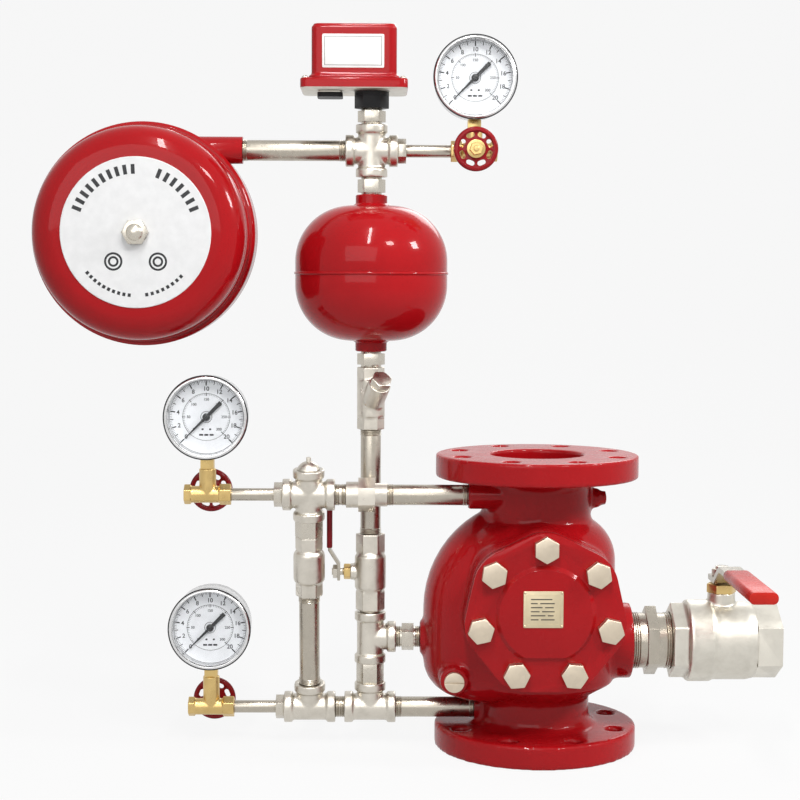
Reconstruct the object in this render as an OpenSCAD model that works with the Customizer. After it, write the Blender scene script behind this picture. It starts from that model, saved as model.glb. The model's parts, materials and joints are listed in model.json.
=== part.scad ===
// Sprinkler alarm valve with its trim: a flanged body with a hinged clapper and a bolted access cover,
// a drain ball valve, a bypass with a check valve, an alarm line with strainer, retard chamber, pressure
// switch and water motor gong, and three pressure gauges on needle valves. Millimetres.
// The origin is the centre of the inlet flange face, +Z is the way of the water, and the cover faces -Y.

/* [Valve body] */
// Distance between the two flange faces
face_to_face = 320; // [312:1:330]
// Diameter of both flanges
flange_d = 220; // [212:1:230]
// Thickness of each flange
flange_t = 25; // [21:0.5:27]
// Diameter of the waterway
bore_d = 100; // [94:1:104]
// Bolt circle of each flange
flange_pcd = 180; // [176:1:186]
// Number of bolt holes in each flange
flange_holes = 8; // [4:4:12]
// Diameter of a flange bolt hole
flange_hole_d = 18; // [14:0.5:20]
// Outside diameter of the necks under the flanges
neck_d = 118; // [116:1:124]
// Outside diameter of the main chamber
chamber_d = 172; // [166:1:176]
// Radius of the shoulder from the chamber to the upper neck
shoulder_r = 50; // [46:1:54]
// Height where that shoulder starts
shoulder_z = 205; // [198:1:210]
// Height where the chamber starts above the lower neck
chamber_z = 74; // [70:1:78]
// Wall of the casting
body_wall = 9; // [7:0.5:10]
// How far the clapper lobe reaches left of the valve axis
lobe_reach = 123; // [119:1:126]
// Width of the clapper lobe, front to back
lobe_w = 152; // [148:1:158]
// Radius of the lobe's sloping top
lobe_top_r = 122; // [118:1:126]
// Height where the lobe's top starts to close
lobe_top_z = 150; // [144:1:156]
// Radius of the lobe's lower edge
lobe_edge_r = 40; // [34:1:44]
// Height of the lobe's underside
lobe_z = 55; // [52:1:58]
// Height of the floor inside the chamber
floor_z = 70; // [68:0.5:72]

/* [Clapper and seat] */
// Inside diameter of the seat ring
seat_d = 94; // [88:1:96]
// Wall of the seat ring
seat_wall = 10; // [8:0.5:11]
// Height of the seat face
seat_z = 80; // [78:0.5:82]
// Depth of the seat ring below the chamber floor
seat_depth = 12; // [9:0.5:15]
// Number of alarm holes in the seat groove
seat_holes = 12; // [6:1:16]
// Distance of the hinge pin from the valve axis
hinge_x = 92; // [90:0.5:95]
// Height of the hinge pin above the seat face
hinge_rise = 6; // [5:0.5:7]
// Diameter of the hinge pin
hinge_pin_d = 12; // [9:0.5:13]
// How far the clapper reaches past the seat ring
clapper_lip = 1; // [0:0.5:3]
// Thickness of the clapper plate
clapper_t = 9; // [7:0.5:12]
// Thickness of the clapper seal
seal_t = 4; // [3:0.5:5]
// How far the seal reaches inside the seat ring
seal_reach = 4; // [3:0.5:6]
// Width across the flats of the clapper's screw
clapper_screw_af = 19; // [17:1:24]

/* [Access cover] */
// Height of the cover's centre
cover_z = 165; // [161:1:168]
// Distance of the cover's joint face in front of the valve axis
cover_y = 100; // [98:1:106]
// Thickness of the cover
cover_t = 15; // [11:0.5:18]
// Thickness of the gasket
gasket_t = 2; // [1:0.5:3]
// Diameter of the access opening
opening_d = 96; // [88:1:98]
// Bolt circle of the cover
cover_pcd = 137; // [135:1:140]
// Number of cover bolts
cover_bolts = 7; // [6:1:8]
// Diameter of a cover bolt
cover_bolt_d = 16; // [12:1:16]
// Width across the flats of a cover bolt's head
cover_bolt_af = 24; // [20:1:26]
// Radius of the cover's rounded corners
cover_corner_r = 40; // [36:1:44]
// Width of the cover beyond the bolt circle
cover_margin = 16; // [15:0.5:18]
// Diameter of the cover's raised middle
cover_pad_d = 104; // [96:1:106]
// Height of the raised middle
cover_pad_t = 4; // [2:0.5:6]

/* [Trim pipe and fittings] */
// Outside diameter of the trim pipe
pipe_d = 22; // [20.5:0.5:23]
// Wall of the trim pipe
pipe_wall = 3; // [2:0.25:3.5]
// How deep a pipe end sits in a fitting
engage = 12; // [9:0.5:13]
// Distance from a fitting's centre to its face
reach = 28; // [27:0.5:29]
// Outside diameter of a fitting's body
fitting_d = 29; // [28:0.5:30]
// Outside diameter of a fitting's end band
band_d = 34; // [32:0.5:35]
// Width of a fitting's end band
band_w = 9; // [6:0.5:10]
// Width across the flats of a hex nipple
nipple_af = 26; // [25:0.5:30]
// Clear length of a hex nipple on the alarm line
nipple_gap = 17; // [14:0.5:20]
// Gap between the retard chamber and the top cross
cross_gap = 19; // [17:0.5:22]
// Diameter of the thin gauge tubes
tube_d = 13.5; // [12:0.5:14]
// Length of a reducing bush's hexagon
bush_l = 9; // [7:0.5:11]

/* [Line places] */
// Height of the lower line
lower_z = 40; // [40:0.5:42]
// Height of the upper line
upper_z = 278.5; // [278:0.25:279.5]
// How far the upper line lies in front of the valve axis
upper_y = 32; // [31:0.5:36]
// Place of the alarm line, left of the valve axis
alarm_x = 181; // [180:0.5:184]
// Place of the bypass line, left of the valve axis
bypass_x = 247; // [246.5:0.5:250]
// Place of the two lower gauges, left of the valve axis
gauge_x = 355; // [350:1:365]
// Place of the alarm line's gauge, left of the valve axis
alarm_gauge_x = 71; // [66:1:74]
// End of the upper line's boss, left of the valve axis
upper_boss_x = 77.5; // [74:0.5:82]
// End of the lower line's boss, left of the valve axis
lower_boss_x = 67.5; // [65:0.5:72]
// End of the alarm port's boss, left of the valve axis
alarm_boss_x = 127; // [126.5:0.5:130]

/* [Upper line union and bypass] */
// Middle of the union, left of the valve axis
union_x = 185; // [182:0.5:188]
// Length of the union
union_l = 44; // [40:1:46]
// Width across the flats of the union nut
union_af = 32; // [31:0.5:34]
// Length of the bypass check valve
check_l = 67; // [63:1:72]
// Diameter of the check valve's waist
check_d = 34; // [32:0.5:35]
// Lift of the check valve's disc
check_lift = 5; // [3:0.5:6]
// Radius of the dome on the upper cross
dome_r = 13.5; // [13:0.5:17]

/* [Alarm line] */
// Length of the nipple between the lower line and the alarm tee
test_gap = 22; // [19:0.5:26]
// Clear length between the alarm tee and the ball valve
close_gap = 2; // [1:0.5:4]
// Length of the alarm ball valve
alarm_valve_l = 84; // [80:1:88]
// Diameter of the alarm valve's barrel
alarm_barrel_d = 34; // [33:0.5:35]
// Diameter of the alarm valve's ball
alarm_ball_d = 26; // [24:0.5:27]
// Diameter of the alarm valve's stem
alarm_stem_d = 8; // [6:0.5:9]
// Length of the alarm valve's lever
alarm_lever_l = 66; // [55:1:67]
// Clear length of the riser pipe
riser_l = 114; // [100:1:130]
// Length of the strainer
strainer_l = 68; // [64:1:74]
// Diameter of the strainer's barrel
strainer_d = 30; // [29:0.5:32]
// Turn of the strainer's leg from +X towards the front
leg_turn = 68; // [40:1:75]
// Length of the strainer's leg
leg_l = 37; // [36:0.5:40]

/* [Retard chamber] */
// Length of the retard chamber over its necks
tank_l = 168; // [160:1:176]
// Diameter of the retard chamber
tank_d = 164; // [156:1:170]
// Radius of the rounded ends
tank_edge_r = 60; // [50:1:62]
// Length of each neck
tank_neck_l = 11.5; // [9:0.5:14]
// Diameter of each neck
tank_neck_d = 34; // [32:0.5:36]
// Wall of the retard chamber
tank_wall = 3; // [2:0.25:4]

/* [Pressure switch] */
// Height of the black collar
collar_h = 17.5; // [16:0.5:20]
// Width across the flats of the collar
collar_af = 32; // [31:0.5:35]
// Offset of the switch from its collar, to the left
switch_shift = 18.5; // [14:0.5:20]
// Width of the base plate
base_w = 112; // [106:1:118]
// Depth of the base plate
base_d = 88; // [82:1:94]
// Thickness of the base plate
base_t = 10; // [8:0.5:12]
// Width of the switch cover
switch_w = 90; // [84:1:94]
// Depth of the switch cover
switch_d = 74; // [68:1:78]
// Height of the switch cover
switch_h = 58; // [52:1:64]
// Diameter of the cable entry in the back of the cover
entry_d = 20; // [16:0.5:22]

/* [Water motor gong] */
// Place of the gong's axis, left of the valve axis
gong_x = 424; // [418:1:432]
// Distance of the inlet above the gong's axis
inlet_rise = 90; // [87:0.5:92]
// Diameter of the motor housing
motor_d = 238; // [234:1:242]
// Depth of the motor housing
motor_w = 38; // [36:0.5:42]
// Wall of the motor housing
motor_wall = 5; // [4:0.25:6]
// Thickness of the back cover
motor_cover_t = 6; // [4:0.5:8]
// Diameter of the inlet sleeve
inlet_d = 29; // [27:0.5:30]
// End of the inlet sleeve, right of the gong's axis
inlet_reach = 105; // [98:1:110]
// Diameter of the gong bell
gong_d = 224; // [218:1:230]
// Depth of the gong bell
gong_h = 50; // [46:0.5:56]
// Radius of the gong's rounded edge
gong_edge_r = 28; // [20:0.5:32]
// Sheet thickness of the gong bell
gong_t = 3.5; // [2.5:0.25:4.5]
// Gap between the motor housing and the gong's rim
gong_gap = 7; // [5:0.5:10]
// Diameter of the fixed stud
stud_d = 12; // [10:0.5:13]
// Width across the flats of the stud's head
stud_af = 22; // [19:1:24]
// Height of the stud's head
stud_head_h = 7; // [5:0.5:9]
// Width of the striker's arm
striker_w = 10; // [8:0.5:12]
// Length of the striker's hammer
hammer_l = 20; // [16:0.5:22]
// Diameter of the impeller over its vanes
impeller_d = 196; // [188:1:200]
// Number of vanes on the impeller
vanes = 16; // [10:1:20]

/* [Gauges] */
// Diameter of a gauge over its bezel
gauge_d = 89; // [86:0.5:92]
// Depth of a gauge case behind its bezel's front
gauge_depth = 42; // [38:0.5:46]
// Rise of the upper gauge over its line
upper_gauge_rise = 84; // [80:0.5:88]
// Rise of the lower gauge over its line
lower_gauge_rise = 90; // [84:0.5:94]
// Rise of the alarm gauge over its line
alarm_gauge_rise = 77; // [75:0.5:82]
// Length of a gauge valve's body
needle_body_l = 50; // [46:0.5:54]
// Diameter of a gauge valve's body
needle_body_d = 18; // [17:0.5:20]
// Diameter of a needle stem
needle_d = 6; // [5:0.5:7]
// Distance from a gauge valve's axis to its handwheel
wheel_y = 34; // [33:0.5:38]
// Diameter of a handwheel
wheel_d = 47; // [44:0.5:50]
// Thickness of a handwheel's rim
wheel_t = 7; // [5:0.5:9]
// Number of holes in a handwheel
wheel_holes = 8; // [5:1:9]

/* [Main drain] */
// Height of the drain's axis
drain_z = 114.5; // [112:0.5:117]
// End of the drain boss, right of the valve axis
drain_boss_x = 104; // [102:0.5:108]
// Diameter of the drain boss
drain_boss_d = 82; // [78:0.5:84]
// Diameter of the drain pipe
drain_pipe_d = 60; // [58:0.5:61]
// Wall of the drain pipe
drain_wall = 5; // [4:0.25:5.5]
// Clear length of the drain nipple
drain_gap = 43; // [40:0.5:48]
// How deep the drain nipple sits at each end
drain_engage = 18; // [14:0.5:19]
// Width across the flats of the drain nipple
drain_nipple_af = 66; // [65:0.5:68]
// Width across the flats of the drain valve's ends
drain_af = 72; // [71:0.5:76]
// Distance from the drain valve's inlet face to its stem
drain_stem_in = 57; // [55:0.5:58]
// Length of the drain valve
drain_valve_l = 118; // [116:0.5:126]
// Diameter of the drain valve's barrel
drain_barrel_d = 89; // [86:0.5:92]
// Diameter of the drain ball
drain_ball_d = 68; // [66:0.5:68]
// Diameter of the ball's passage
drain_passage_d = 48; // [44:0.5:49]
// Diameter of the drain stem
drain_stem_d = 14; // [11:0.5:15]
// Length of the drain lever
drain_lever_l = 205; // [180:1:220]
// Diameter of the female thread at the outlet
drain_thread_d = 57; // [55:0.5:58]

/* [Fits] */
// Radial clearance of a turning or sliding shaft
run_gap = 0.05; // [0.02:0.01:0.09]
// Radial clearance of a screwed or pressed fit
fit_gap = 0.05; // [0.02:0.01:0.1]
// Clearance between a ball and its seats
ball_gap = 0.3; // [0.2:0.05:0.4]

/* [Hidden] */
$fn = 64;
eps = 0.5;

RED = "firebrick";
ZINC = "silver";
BRASS = "goldenrod";

// Valve body
flange_r = flange_d / 2;
bore_r = bore_d / 2;
neck_r = neck_d / 2;
chamber_r = chamber_d / 2;
neck_fillet = 8;
lower_neck_z = chamber_z - (chamber_r - neck_r) * 0.6;
shoulder_end = acos((neck_r - chamber_r + shoulder_r) / shoulder_r);
lobe_r = lobe_w / 2;
lobe_x = lobe_r - lobe_reach;
hinge_z = seat_z + hinge_rise;
hinge_boss_r = hinge_pin_d / 2 + 9;
seat_od = seat_d + 2 * seat_wall;
clapper_d = seat_od + 2 * clapper_lip;
clapper_screw_r = clapper_screw_af * 0.42;
hinge_front = lobe_r;
hinge_back = lobe_r - 6;
hinge_head_r = 10.5;
hinge_head_t = 6;

// Pipe lines
pipe_r = pipe_d / 2;
way_r = pipe_r - pipe_wall;
socket_r = pipe_r + fit_gap;
fitting_r = fitting_d / 2;
band_r = band_d / 2;
branch_step = 0.4;
boss_r = pipe_r + 4;
tube_r = tube_d / 2;
tube_engage = 10;
rise = upper_z - lower_z;
bypass_tilt = atan2(upper_y, rise);
bypass_l = norm([upper_y, rise]);
check_gap = nipple_gap + 1;
check_z = bypass_l - reach - check_gap - check_l;
check_seat_z = check_l * 0.45;
check_room = check_l * 0.3;
check_disc_t = 4;
check_room_r = check_d / 2 - 4.5;

alarm_z = lower_z + 2 * reach + test_gap;
alarm_valve_z = alarm_z + reach + close_gap + alarm_valve_l / 2;
riser_z = alarm_valve_z + alarm_valve_l / 2;
strainer_z = riser_z + riser_l;
tank_z = strainer_z + strainer_l + nipple_gap;
cross_z = tank_z + tank_l + cross_gap + reach;
collar_z = cross_z + reach + nipple_gap;
base_z = collar_z + collar_h;
switch_z = base_z + base_t;

// Alarm ball valve, along Z, with its stem to -X
alarm_af = 28;
alarm_hex_l = 20;
alarm_room_r = alarm_ball_d / 2 + ball_gap;
alarm_room_h = alarm_ball_d / 2 + 1.5;
alarm_stem_r = alarm_stem_d / 2;
alarm_neck_r = alarm_stem_r + 5;
alarm_neck_x = alarm_barrel_d / 2 + 5;
alarm_gland_af = 15;
alarm_gland_l = 7;
alarm_lever_x = alarm_neck_x + alarm_gland_l + 4;
alarm_lever_t = 3;
alarm_lever_w = 14;
alarm_lever_kick = 10;
alarm_nut_af = 13;
alarm_nut_l = 5;
alarm_grip_t = 6;
alarm_grip_w = 17;
slot_depth = 0.25;

// Strainer
leg_z = strainer_l * 0.36;
leg_r = 12;
leg_bore_r = 9;
leg_plug_l = 6;
leg_cap_l = 9;
leg_cap_af = 20;

// Water motor gong, along Y
gong_z = cross_z - inlet_rise;
motor_front = -motor_w / 2;
motor_back = motor_w / 2;
motor_r = motor_d / 2;
motor_room_r = motor_r - motor_wall - 2;
gong_lip = motor_front - gong_gap;
gong_face = gong_lip - gong_h;
stud_r = stud_d / 2;
hub_r = stud_r + 5;
striker_t = 5;
stud_boss_h = 6;
striker_in = 12;
striker_y = gong_lip - striker_in;
hammer_r = 9;
hammer_clear = 2;
stud_shoulder_r = stud_r + 3;
nut_af = 24;
nut_h = 9;
drain_spout_r = 13;
drain_spout_l = 14;

// Gauges: place of the valve, rise of the dial, turn of the gauge valve
gauges = [
    [[-gauge_x, -upper_y, upper_z], upper_gauge_rise, 0],
    [[-gauge_x, 0, lower_z], lower_gauge_rise, 0],
    [[-alarm_gauge_x, 0, cross_z], alarm_gauge_rise, 180]
];
bezel_r = gauge_d / 2;
case_r = bezel_r - 1.5;
case_wall = 2.8;
dial_r = case_r - case_wall - 0.2;
gauge_front = -gauge_depth * 0.57;
glass_t = 2;
bezel_lip = 2;
bezel_w = 3.5;
bezel_l = 14;
glass_y = gauge_front + bezel_lip;
rim_y = glass_y + glass_t;
dial_t = 1;
dial_y = rim_y + 8;
gauge_back = gauge_front + gauge_depth;
pointer_t = 1;
spindle_r = 1.5;
socket_af = 14;
socket_h = 12;
case_gap = 1;
gauge_thread_r = 6;
gauge_thread_l = 8;
needle_r = needle_d / 2;
bonnet_r = needle_body_d / 2 - 1;
bonnet_y = 16;
gland_af = 14;
gland_l = 8;
needle_tip = 4;
needle_way_r = 2.5;
wheel_hub_r = 7;
wheel_web_t = 3;

// Main drain, along X
drain_r = drain_pipe_d / 2;
drain_way_r = drain_r - drain_wall;
drain_socket_r = drain_r + fit_gap;
drain_valve_x = drain_boss_x + drain_gap;
drain_stem_x = drain_valve_x + drain_stem_in;
drain_end_x = drain_valve_x + drain_valve_l;
drain_barrel_r = drain_barrel_d / 2;
drain_ball_r = drain_ball_d / 2;
drain_room_r = drain_ball_r + ball_gap;
drain_room_l = drain_ball_r + 1.5;
drain_spigot_r = drain_room_r + 4;
drain_spigot_l = 16;
drain_hex_l = 17;
drain_split_x = drain_stem_x + drain_ball_r;
drain_stem_r = drain_stem_d / 2;
drain_neck_r = drain_stem_r + 8;
drain_neck_z = drain_barrel_r + 9;
drain_gland_af = 28;
drain_gland_l = 10;
drain_lever_z = drain_neck_z + drain_gland_l + 2;
drain_lever_t = 6;
drain_lever_w = 24;
drain_lever_kick = 17;
drain_grip_from = 80;
drain_nut_af = 19;
drain_nut_l = 8;
drain_grip_t = 12;
drain_grip_w = 29;

// Shared shapes

module to_x() rotate([0, 90, 0]) children();
module to_left() rotate([0, -90, 0]) children();
module to_back() rotate([-90, 0, 0]) children();
module to_front() rotate([90, 0, 0]) children();

module hexagon(af, h) cylinder(d = af / cos(30), h = h, $fn = 6);

module ring(ro, ri, h) {
    difference() {
        cylinder(r = ro, h = h);
        translate([0, 0, -eps]) cylinder(r = ri, h = h + 2 * eps);
    }
}

function arc(cx, cy, r, from, to, n) = [
    for (i = [0:n]) let(a = from + (to - from) * i / n) [cx + r * cos(a), cy + r * sin(a)]
];

// Nut or bolt head with its corners turned off on the outer side
module turned_hex(af, h) {
    intersection() {
        hexagon(af, h);
        rotate_extrude() polygon([
            [0, 0], [af, 0], [af, h - af * 0.18], [af * 0.47, h], [0, h]
        ]);
    }
}

// Flow path of a pipe socket, mouth at z = 0 and pipe end below it
module socket() {
    translate([0, 0, -engage]) cylinder(r = socket_r, h = engage + eps);
}

// Pipe with both ends screwed in, clear length gap above z = 0
module pipe_run(gap) {
    translate([0, 0, -engage]) ring(pipe_r, way_r, gap + 2 * engage);
}

// Hex nipple whose hexagon sits in the middle of its clear length
module hex_nipple(gap, hex_l) {
    difference() {
        union() {
            translate([0, 0, -engage]) cylinder(r = pipe_r, h = gap + 2 * engage);
            translate([0, 0, (gap - hex_l) / 2]) hexagon(nipple_af, hex_l);
        }
        translate([0, 0, -engage - eps]) cylinder(r = way_r, h = gap + 2 * engage + 2 * eps);
    }
}

// Bush from a pipe socket down to a thin tube, hexagon above z = 0
module reducing_bush() {
    difference() {
        union() {
            translate([0, 0, -engage]) cylinder(r = pipe_r, h = engage + eps);
            hexagon(nipple_af - 3, bush_l);
        }
        translate([0, 0, bush_l - tube_engage]) cylinder(r = tube_r + fit_gap, h = tube_engage + eps);
        translate([0, 0, -engage - eps]) cylinder(r = tube_r - 2, h = engage + bush_l);
    }
}

// Tee or cross: run along Z, one branch at each angle
module fitting(branches) {
    difference() {
        union() {
            translate([0, 0, -reach]) cylinder(r = fitting_r, h = 2 * reach);
            for (s = [0, 180]) rotate([s, 0, 0]) translate([0, 0, reach - band_w])
                cylinder(r = band_r, h = band_w);
            for (a = branches) rotate([0, 0, a]) to_x() {
                cylinder(r = fitting_r - branch_step, h = reach);
                translate([0, 0, reach - band_w]) cylinder(r = band_r, h = band_w);
            }
        }
        translate([0, 0, -reach - eps]) cylinder(r = way_r, h = 2 * reach + 2 * eps);
        for (s = [0, 180]) rotate([s, 0, 0]) translate([0, 0, reach]) socket();
        for (a = branches) rotate([0, 0, a]) to_x() {
            cylinder(r = way_r - branch_step, h = reach);
            translate([0, 0, reach]) socket();
        }
    }
}

// Ball with its passage along Z and a slot for the stem's tang on the -X side
module valve_ball(r, passage_r, tang_w) {
    difference() {
        sphere(r = r);
        translate([0, 0, -r - eps]) cylinder(r = passage_r, h = 2 * r + 2 * eps);
        translate([-r - eps, -tang_w / 2, -r]) cube([r * slot_depth + eps, tang_w, 2 * r]);
    }
}

// Pair of seat rings each side of a ball
module ball_seat_pair(r, room_r, room_h, passage_r) {
    for (s = [0, 180]) rotate([s, 0, 0]) difference() {
        translate([0, 0, r * 0.55]) cylinder(r = room_r, h = room_h - r * 0.55);
        sphere(r = r + ball_gap);
        cylinder(r = passage_r, h = 2 * r);
    }
}

module on_alarm(z) translate([-alarm_x, 0, z]) children();
module on_bypass(s) {
    translate([-bypass_x, 0, lower_z]) rotate([bypass_tilt, 0, 0]) translate([0, 0, s]) children();
}
module on_upper(x) translate([-x, -upper_y, upper_z]) to_x() children();
module on_lower(x) translate([-x, 0, lower_z]) to_x() children();
module on_drain(x) translate([x, 0, drain_z]) to_x() children();
module on_gong() translate([-gong_x, 0, gong_z]) children();
module on_gauge(g) translate(g[0]) children();
module on_needle(g) translate(g[0]) rotate([0, 0, g[2]]) children();
module each_gauge() for (g = gauges) on_gauge(g) translate([0, 0, g[1]]) children();

// Valve body

function core_outline() = concat(
    [[0, 0], [flange_r, 0], [flange_r, flange_t], [neck_r + neck_fillet, flange_t],
     [neck_r, flange_t + neck_fillet], [neck_r, lower_neck_z], [chamber_r, chamber_z]],
    arc(chamber_r - shoulder_r, shoulder_z, shoulder_r, 0, shoulder_end, 8),
    [[neck_r, face_to_face - flange_t - neck_fillet], [neck_r + neck_fillet, face_to_face - flange_t],
     [flange_r, face_to_face - flange_t], [flange_r, face_to_face], [0, face_to_face]]
);

// Waterway from the inlet through the seat recess and the chamber to the outlet
function waterway_outline() = concat(
    [[0, -eps], [bore_r, -eps], [bore_r, floor_z - seat_depth], [seat_od / 2, floor_z - seat_depth],
     [seat_od / 2, floor_z], [chamber_r - body_wall, floor_z]],
    arc(chamber_r - shoulder_r, shoulder_z, shoulder_r - body_wall, 0,
        acos((bore_r - chamber_r + shoulder_r) / (shoulder_r - body_wall)), 6),
    [[bore_r, face_to_face + eps], [0, face_to_face + eps]]
);

// Lobe of the clapper's hinge side, about its own upright axis
function lobe_outline(inset, bottom) = concat(
    [[0, bottom]],
    arc(lobe_r - lobe_edge_r, bottom + lobe_edge_r - inset, lobe_edge_r - inset, -90, 0, 6),
    arc(lobe_r - lobe_top_r, lobe_top_z, lobe_top_r - inset, 0,
        acos((lobe_top_r - lobe_r + 8) / (lobe_top_r - inset)), 10),
    [[0, lobe_top_z + lobe_top_r * 0.92 - inset]]
);

// Rounded outline that runs round the cover's bolts
module cover_outline() {
    step = 360 / cover_bolts;
    r = cover_pcd / 2 + cover_margin - cover_corner_r;
    polygon([
        for (i = [0:cover_bolts - 1]) let(a = 90 + i * step)
            each arc(r * cos(a), r * sin(a), cover_corner_r, a - step / 2, a + step / 2, 8)
    ]);
}

// Places children at each cover bolt, +Z pointing to the front
module at_cover_bolts() {
    for (i = [0:cover_bolts - 1]) translate([0, 0, cover_z])
        rotate([0, -90 - i * 360 / cover_bolts, 0]) translate([cover_pcd / 2, 0, 0]) to_front() children();
}

// Plate with the cover's outline, back face at y and thickness t to the front
module cover_plate(y, t) translate([0, y, cover_z]) to_front() linear_extrude(t) cover_outline();

module flange_hole_ring(z) {
    for (i = [0:flange_holes - 1]) rotate([0, 0, (i + 0.5) * 360 / flange_holes])
        translate([flange_pcd / 2, 0, z]) cylinder(d = flange_hole_d, h = flange_t + 2 * eps);
}

module body_bosses() {
    translate([-upper_boss_x, -upper_y, upper_z]) to_x() cylinder(r = boss_r, h = upper_boss_x - 20);
    translate([-lower_boss_x, 0, lower_z]) to_x() cylinder(r = boss_r - 0.5, h = lower_boss_x - bore_r - 2);
    on_alarm(alarm_z) translate([alarm_x - alarm_boss_x, 0, 0]) to_x() cylinder(r = boss_r + 3, h = 30);
    translate([chamber_r - 30, 0, drain_z]) to_x()
        cylinder(d = drain_boss_d, h = drain_boss_x - chamber_r + 30);
    translate([bore_r + 2, 0, upper_z - 7]) to_x() {
        cylinder(r = 11, h = 16);
        hexagon(14, 24);
    }
    translate([-hinge_x, -hinge_front, hinge_z]) to_back()
        cylinder(r = hinge_boss_r, h = hinge_front + hinge_back);
}

module body_ports() {
    translate([-upper_boss_x, -upper_y, upper_z]) to_left() {
        socket();
        translate([0, 0, -upper_boss_x + 25]) cylinder(r = way_r, h = upper_boss_x - 25);
    }
    translate([-lower_boss_x, 0, lower_z]) to_left() {
        socket();
        translate([0, 0, -lower_boss_x + 30]) cylinder(r = way_r, h = lower_boss_x - 30);
    }
    translate([-alarm_boss_x, 0, alarm_z]) to_left() {
        socket();
        translate([0, 0, -30]) cylinder(r = way_r, h = 30);
    }
    translate([drain_boss_x, 0, drain_z]) to_x() {
        translate([0, 0, -drain_engage]) cylinder(r = drain_socket_r, h = drain_engage + eps);
        translate([0, 0, -60]) cylinder(r = drain_way_r, h = 60);
    }
}

module valve_body() {
    color(RED) difference() {
        union() {
            rotate_extrude() polygon(core_outline());
            translate([lobe_x, 0, 0]) rotate_extrude() polygon(lobe_outline(0, lobe_z));
            cover_plate(-12, cover_y - 12);
            body_bosses();
        }
        rotate_extrude() polygon(waterway_outline());
        translate([lobe_x, 0, 0]) rotate_extrude() polygon(lobe_outline(body_wall, floor_z));
        translate([0, 0, cover_z]) to_front() cylinder(d = opening_d, h = cover_y + eps);
        at_cover_bolts() translate([0, 0, cover_y - 20]) cylinder(d = cover_bolt_d, h = 20 + eps);
        translate([-hinge_x, -hinge_front - eps, hinge_z]) to_back() {
            cylinder(d = hinge_pin_d, h = hinge_front + hinge_back - 6);
        }
        flange_hole_ring(-eps);
        flange_hole_ring(face_to_face - flange_t - eps);
        body_ports();
    }
}

// Bronze ring with an alarm groove between two lips
module seat_ring() {
    groove_r = (seat_d + seat_od) / 4;
    color(BRASS) translate([0, 0, floor_z - seat_depth]) difference() {
        cylinder(d = seat_od, h = seat_z - floor_z + seat_depth);
        translate([0, 0, -eps]) cylinder(d = seat_d, h = seat_z + eps);
        translate([0, 0, seat_z - floor_z + seat_depth - 4]) ring(groove_r + 1.8, groove_r - 1.8, 5);
        for (i = [0:seat_holes - 1]) rotate([0, 0, i * 360 / seat_holes]) translate([groove_r, 0, -eps])
            cylinder(d = 2.6, h = seat_z);
    }
}

module hinge_pin() {
    color(ZINC) translate([-hinge_x, -hinge_front, hinge_z]) {
        to_back() cylinder(r = hinge_pin_d / 2 - run_gap, h = hinge_front + hinge_back - 6 - eps);
        difference() {
            to_front() cylinder(r = hinge_head_r, h = hinge_head_t);
            translate([-hinge_head_r, -hinge_head_t - eps, -1]) cube([2 * hinge_head_r, 2 + eps, 2]);
        }
    }
}

module cover_gasket() {
    color("dimgray") difference() {
        cover_plate(-cover_y, gasket_t);
        translate([0, eps - cover_y, cover_z]) to_front() cylinder(d = opening_d, h = gasket_t + 2 * eps);
        at_cover_bolts() translate([0, 0, cover_y - eps])
            cylinder(d = cover_bolt_d + 1, h = gasket_t + 2 * eps);
    }
}

// Cover plate with a raised middle that is cut straight below
module access_cover() {
    back = cover_y + gasket_t;
    color(RED) difference() {
        union() {
            cover_plate(-back, cover_t);
            translate([0, -back - cover_t, cover_z]) intersection() {
                to_front() rotate_extrude() polygon([
                    [0, 0], [cover_pad_d / 2, 0],
                    [cover_pad_d / 2 - cover_pad_t, cover_pad_t], [0, cover_pad_t]
                ]);
                translate([-cover_pad_d, -cover_pad_t - eps, -cover_pad_d * 0.42])
                    cube([2 * cover_pad_d, cover_pad_t + 2 * eps, 2 * cover_pad_d]);
            }
            translate([0, -back, cover_z]) to_back() cylinder(d = opening_d - 1, h = 5);
        }
        at_cover_bolts() translate([0, 0, back - eps]) cylinder(d = cover_bolt_d + 1, h = cover_t + 2 * eps);
    }
}

module cover_bolts() {
    face = cover_y + gasket_t + cover_t;
    shank_l = gasket_t + cover_t + 18;
    color(RED) at_cover_bolts() translate([0, 0, face]) {
        turned_hex(cover_bolt_af, cover_bolt_d * 0.63);
        translate([0, 0, -shank_l]) cylinder(r = cover_bolt_d / 2 - fit_gap, h = shank_l + eps);
    }
}

// Clapper: ribbed disc on an arm with a hinge eye
module clapper() {
    bottom = seat_z + seal_t + run_gap;
    eye_r = hinge_pin_d * 0.9;
    eye_w = hinge_pin_d * 2.7;
    arm_w = eye_w * 0.8;
    rib_w = hinge_pin_d;
    crown_h = clapper_t * 1.35;
    color("peru") difference() {
        union() {
            translate([0, 0, bottom]) cylinder(d = clapper_d, h = clapper_t);
            translate([0, 0, bottom + clapper_t - eps]) rotate_extrude() polygon([
                [0, 0], [clapper_d * 0.26, 0], [clapper_d * 0.14, crown_h], [0, crown_h]
            ]);
            translate([-hinge_x, -arm_w / 2, bottom]) cube([hinge_x, arm_w, clapper_t]);
            translate([-hinge_x, -rib_w / 2, bottom]) cube([hinge_x, rib_w, clapper_t * 1.65]);
            translate([-hinge_x, -eye_w / 2, hinge_z]) to_back() cylinder(r = eye_r, h = eye_w);
        }
        translate([-hinge_x, -eye_w, hinge_z]) to_back() cylinder(d = hinge_pin_d, h = 2 * eye_w);
        translate([0, 0, bottom - eps]) cylinder(r = clapper_screw_r, h = clapper_t + 1);
    }
}

module clapper_seal() {
    color("black") translate([0, 0, seat_z + run_gap]) ring(seat_od / 2, seat_d / 2 - seal_reach, seal_t);
}

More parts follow.
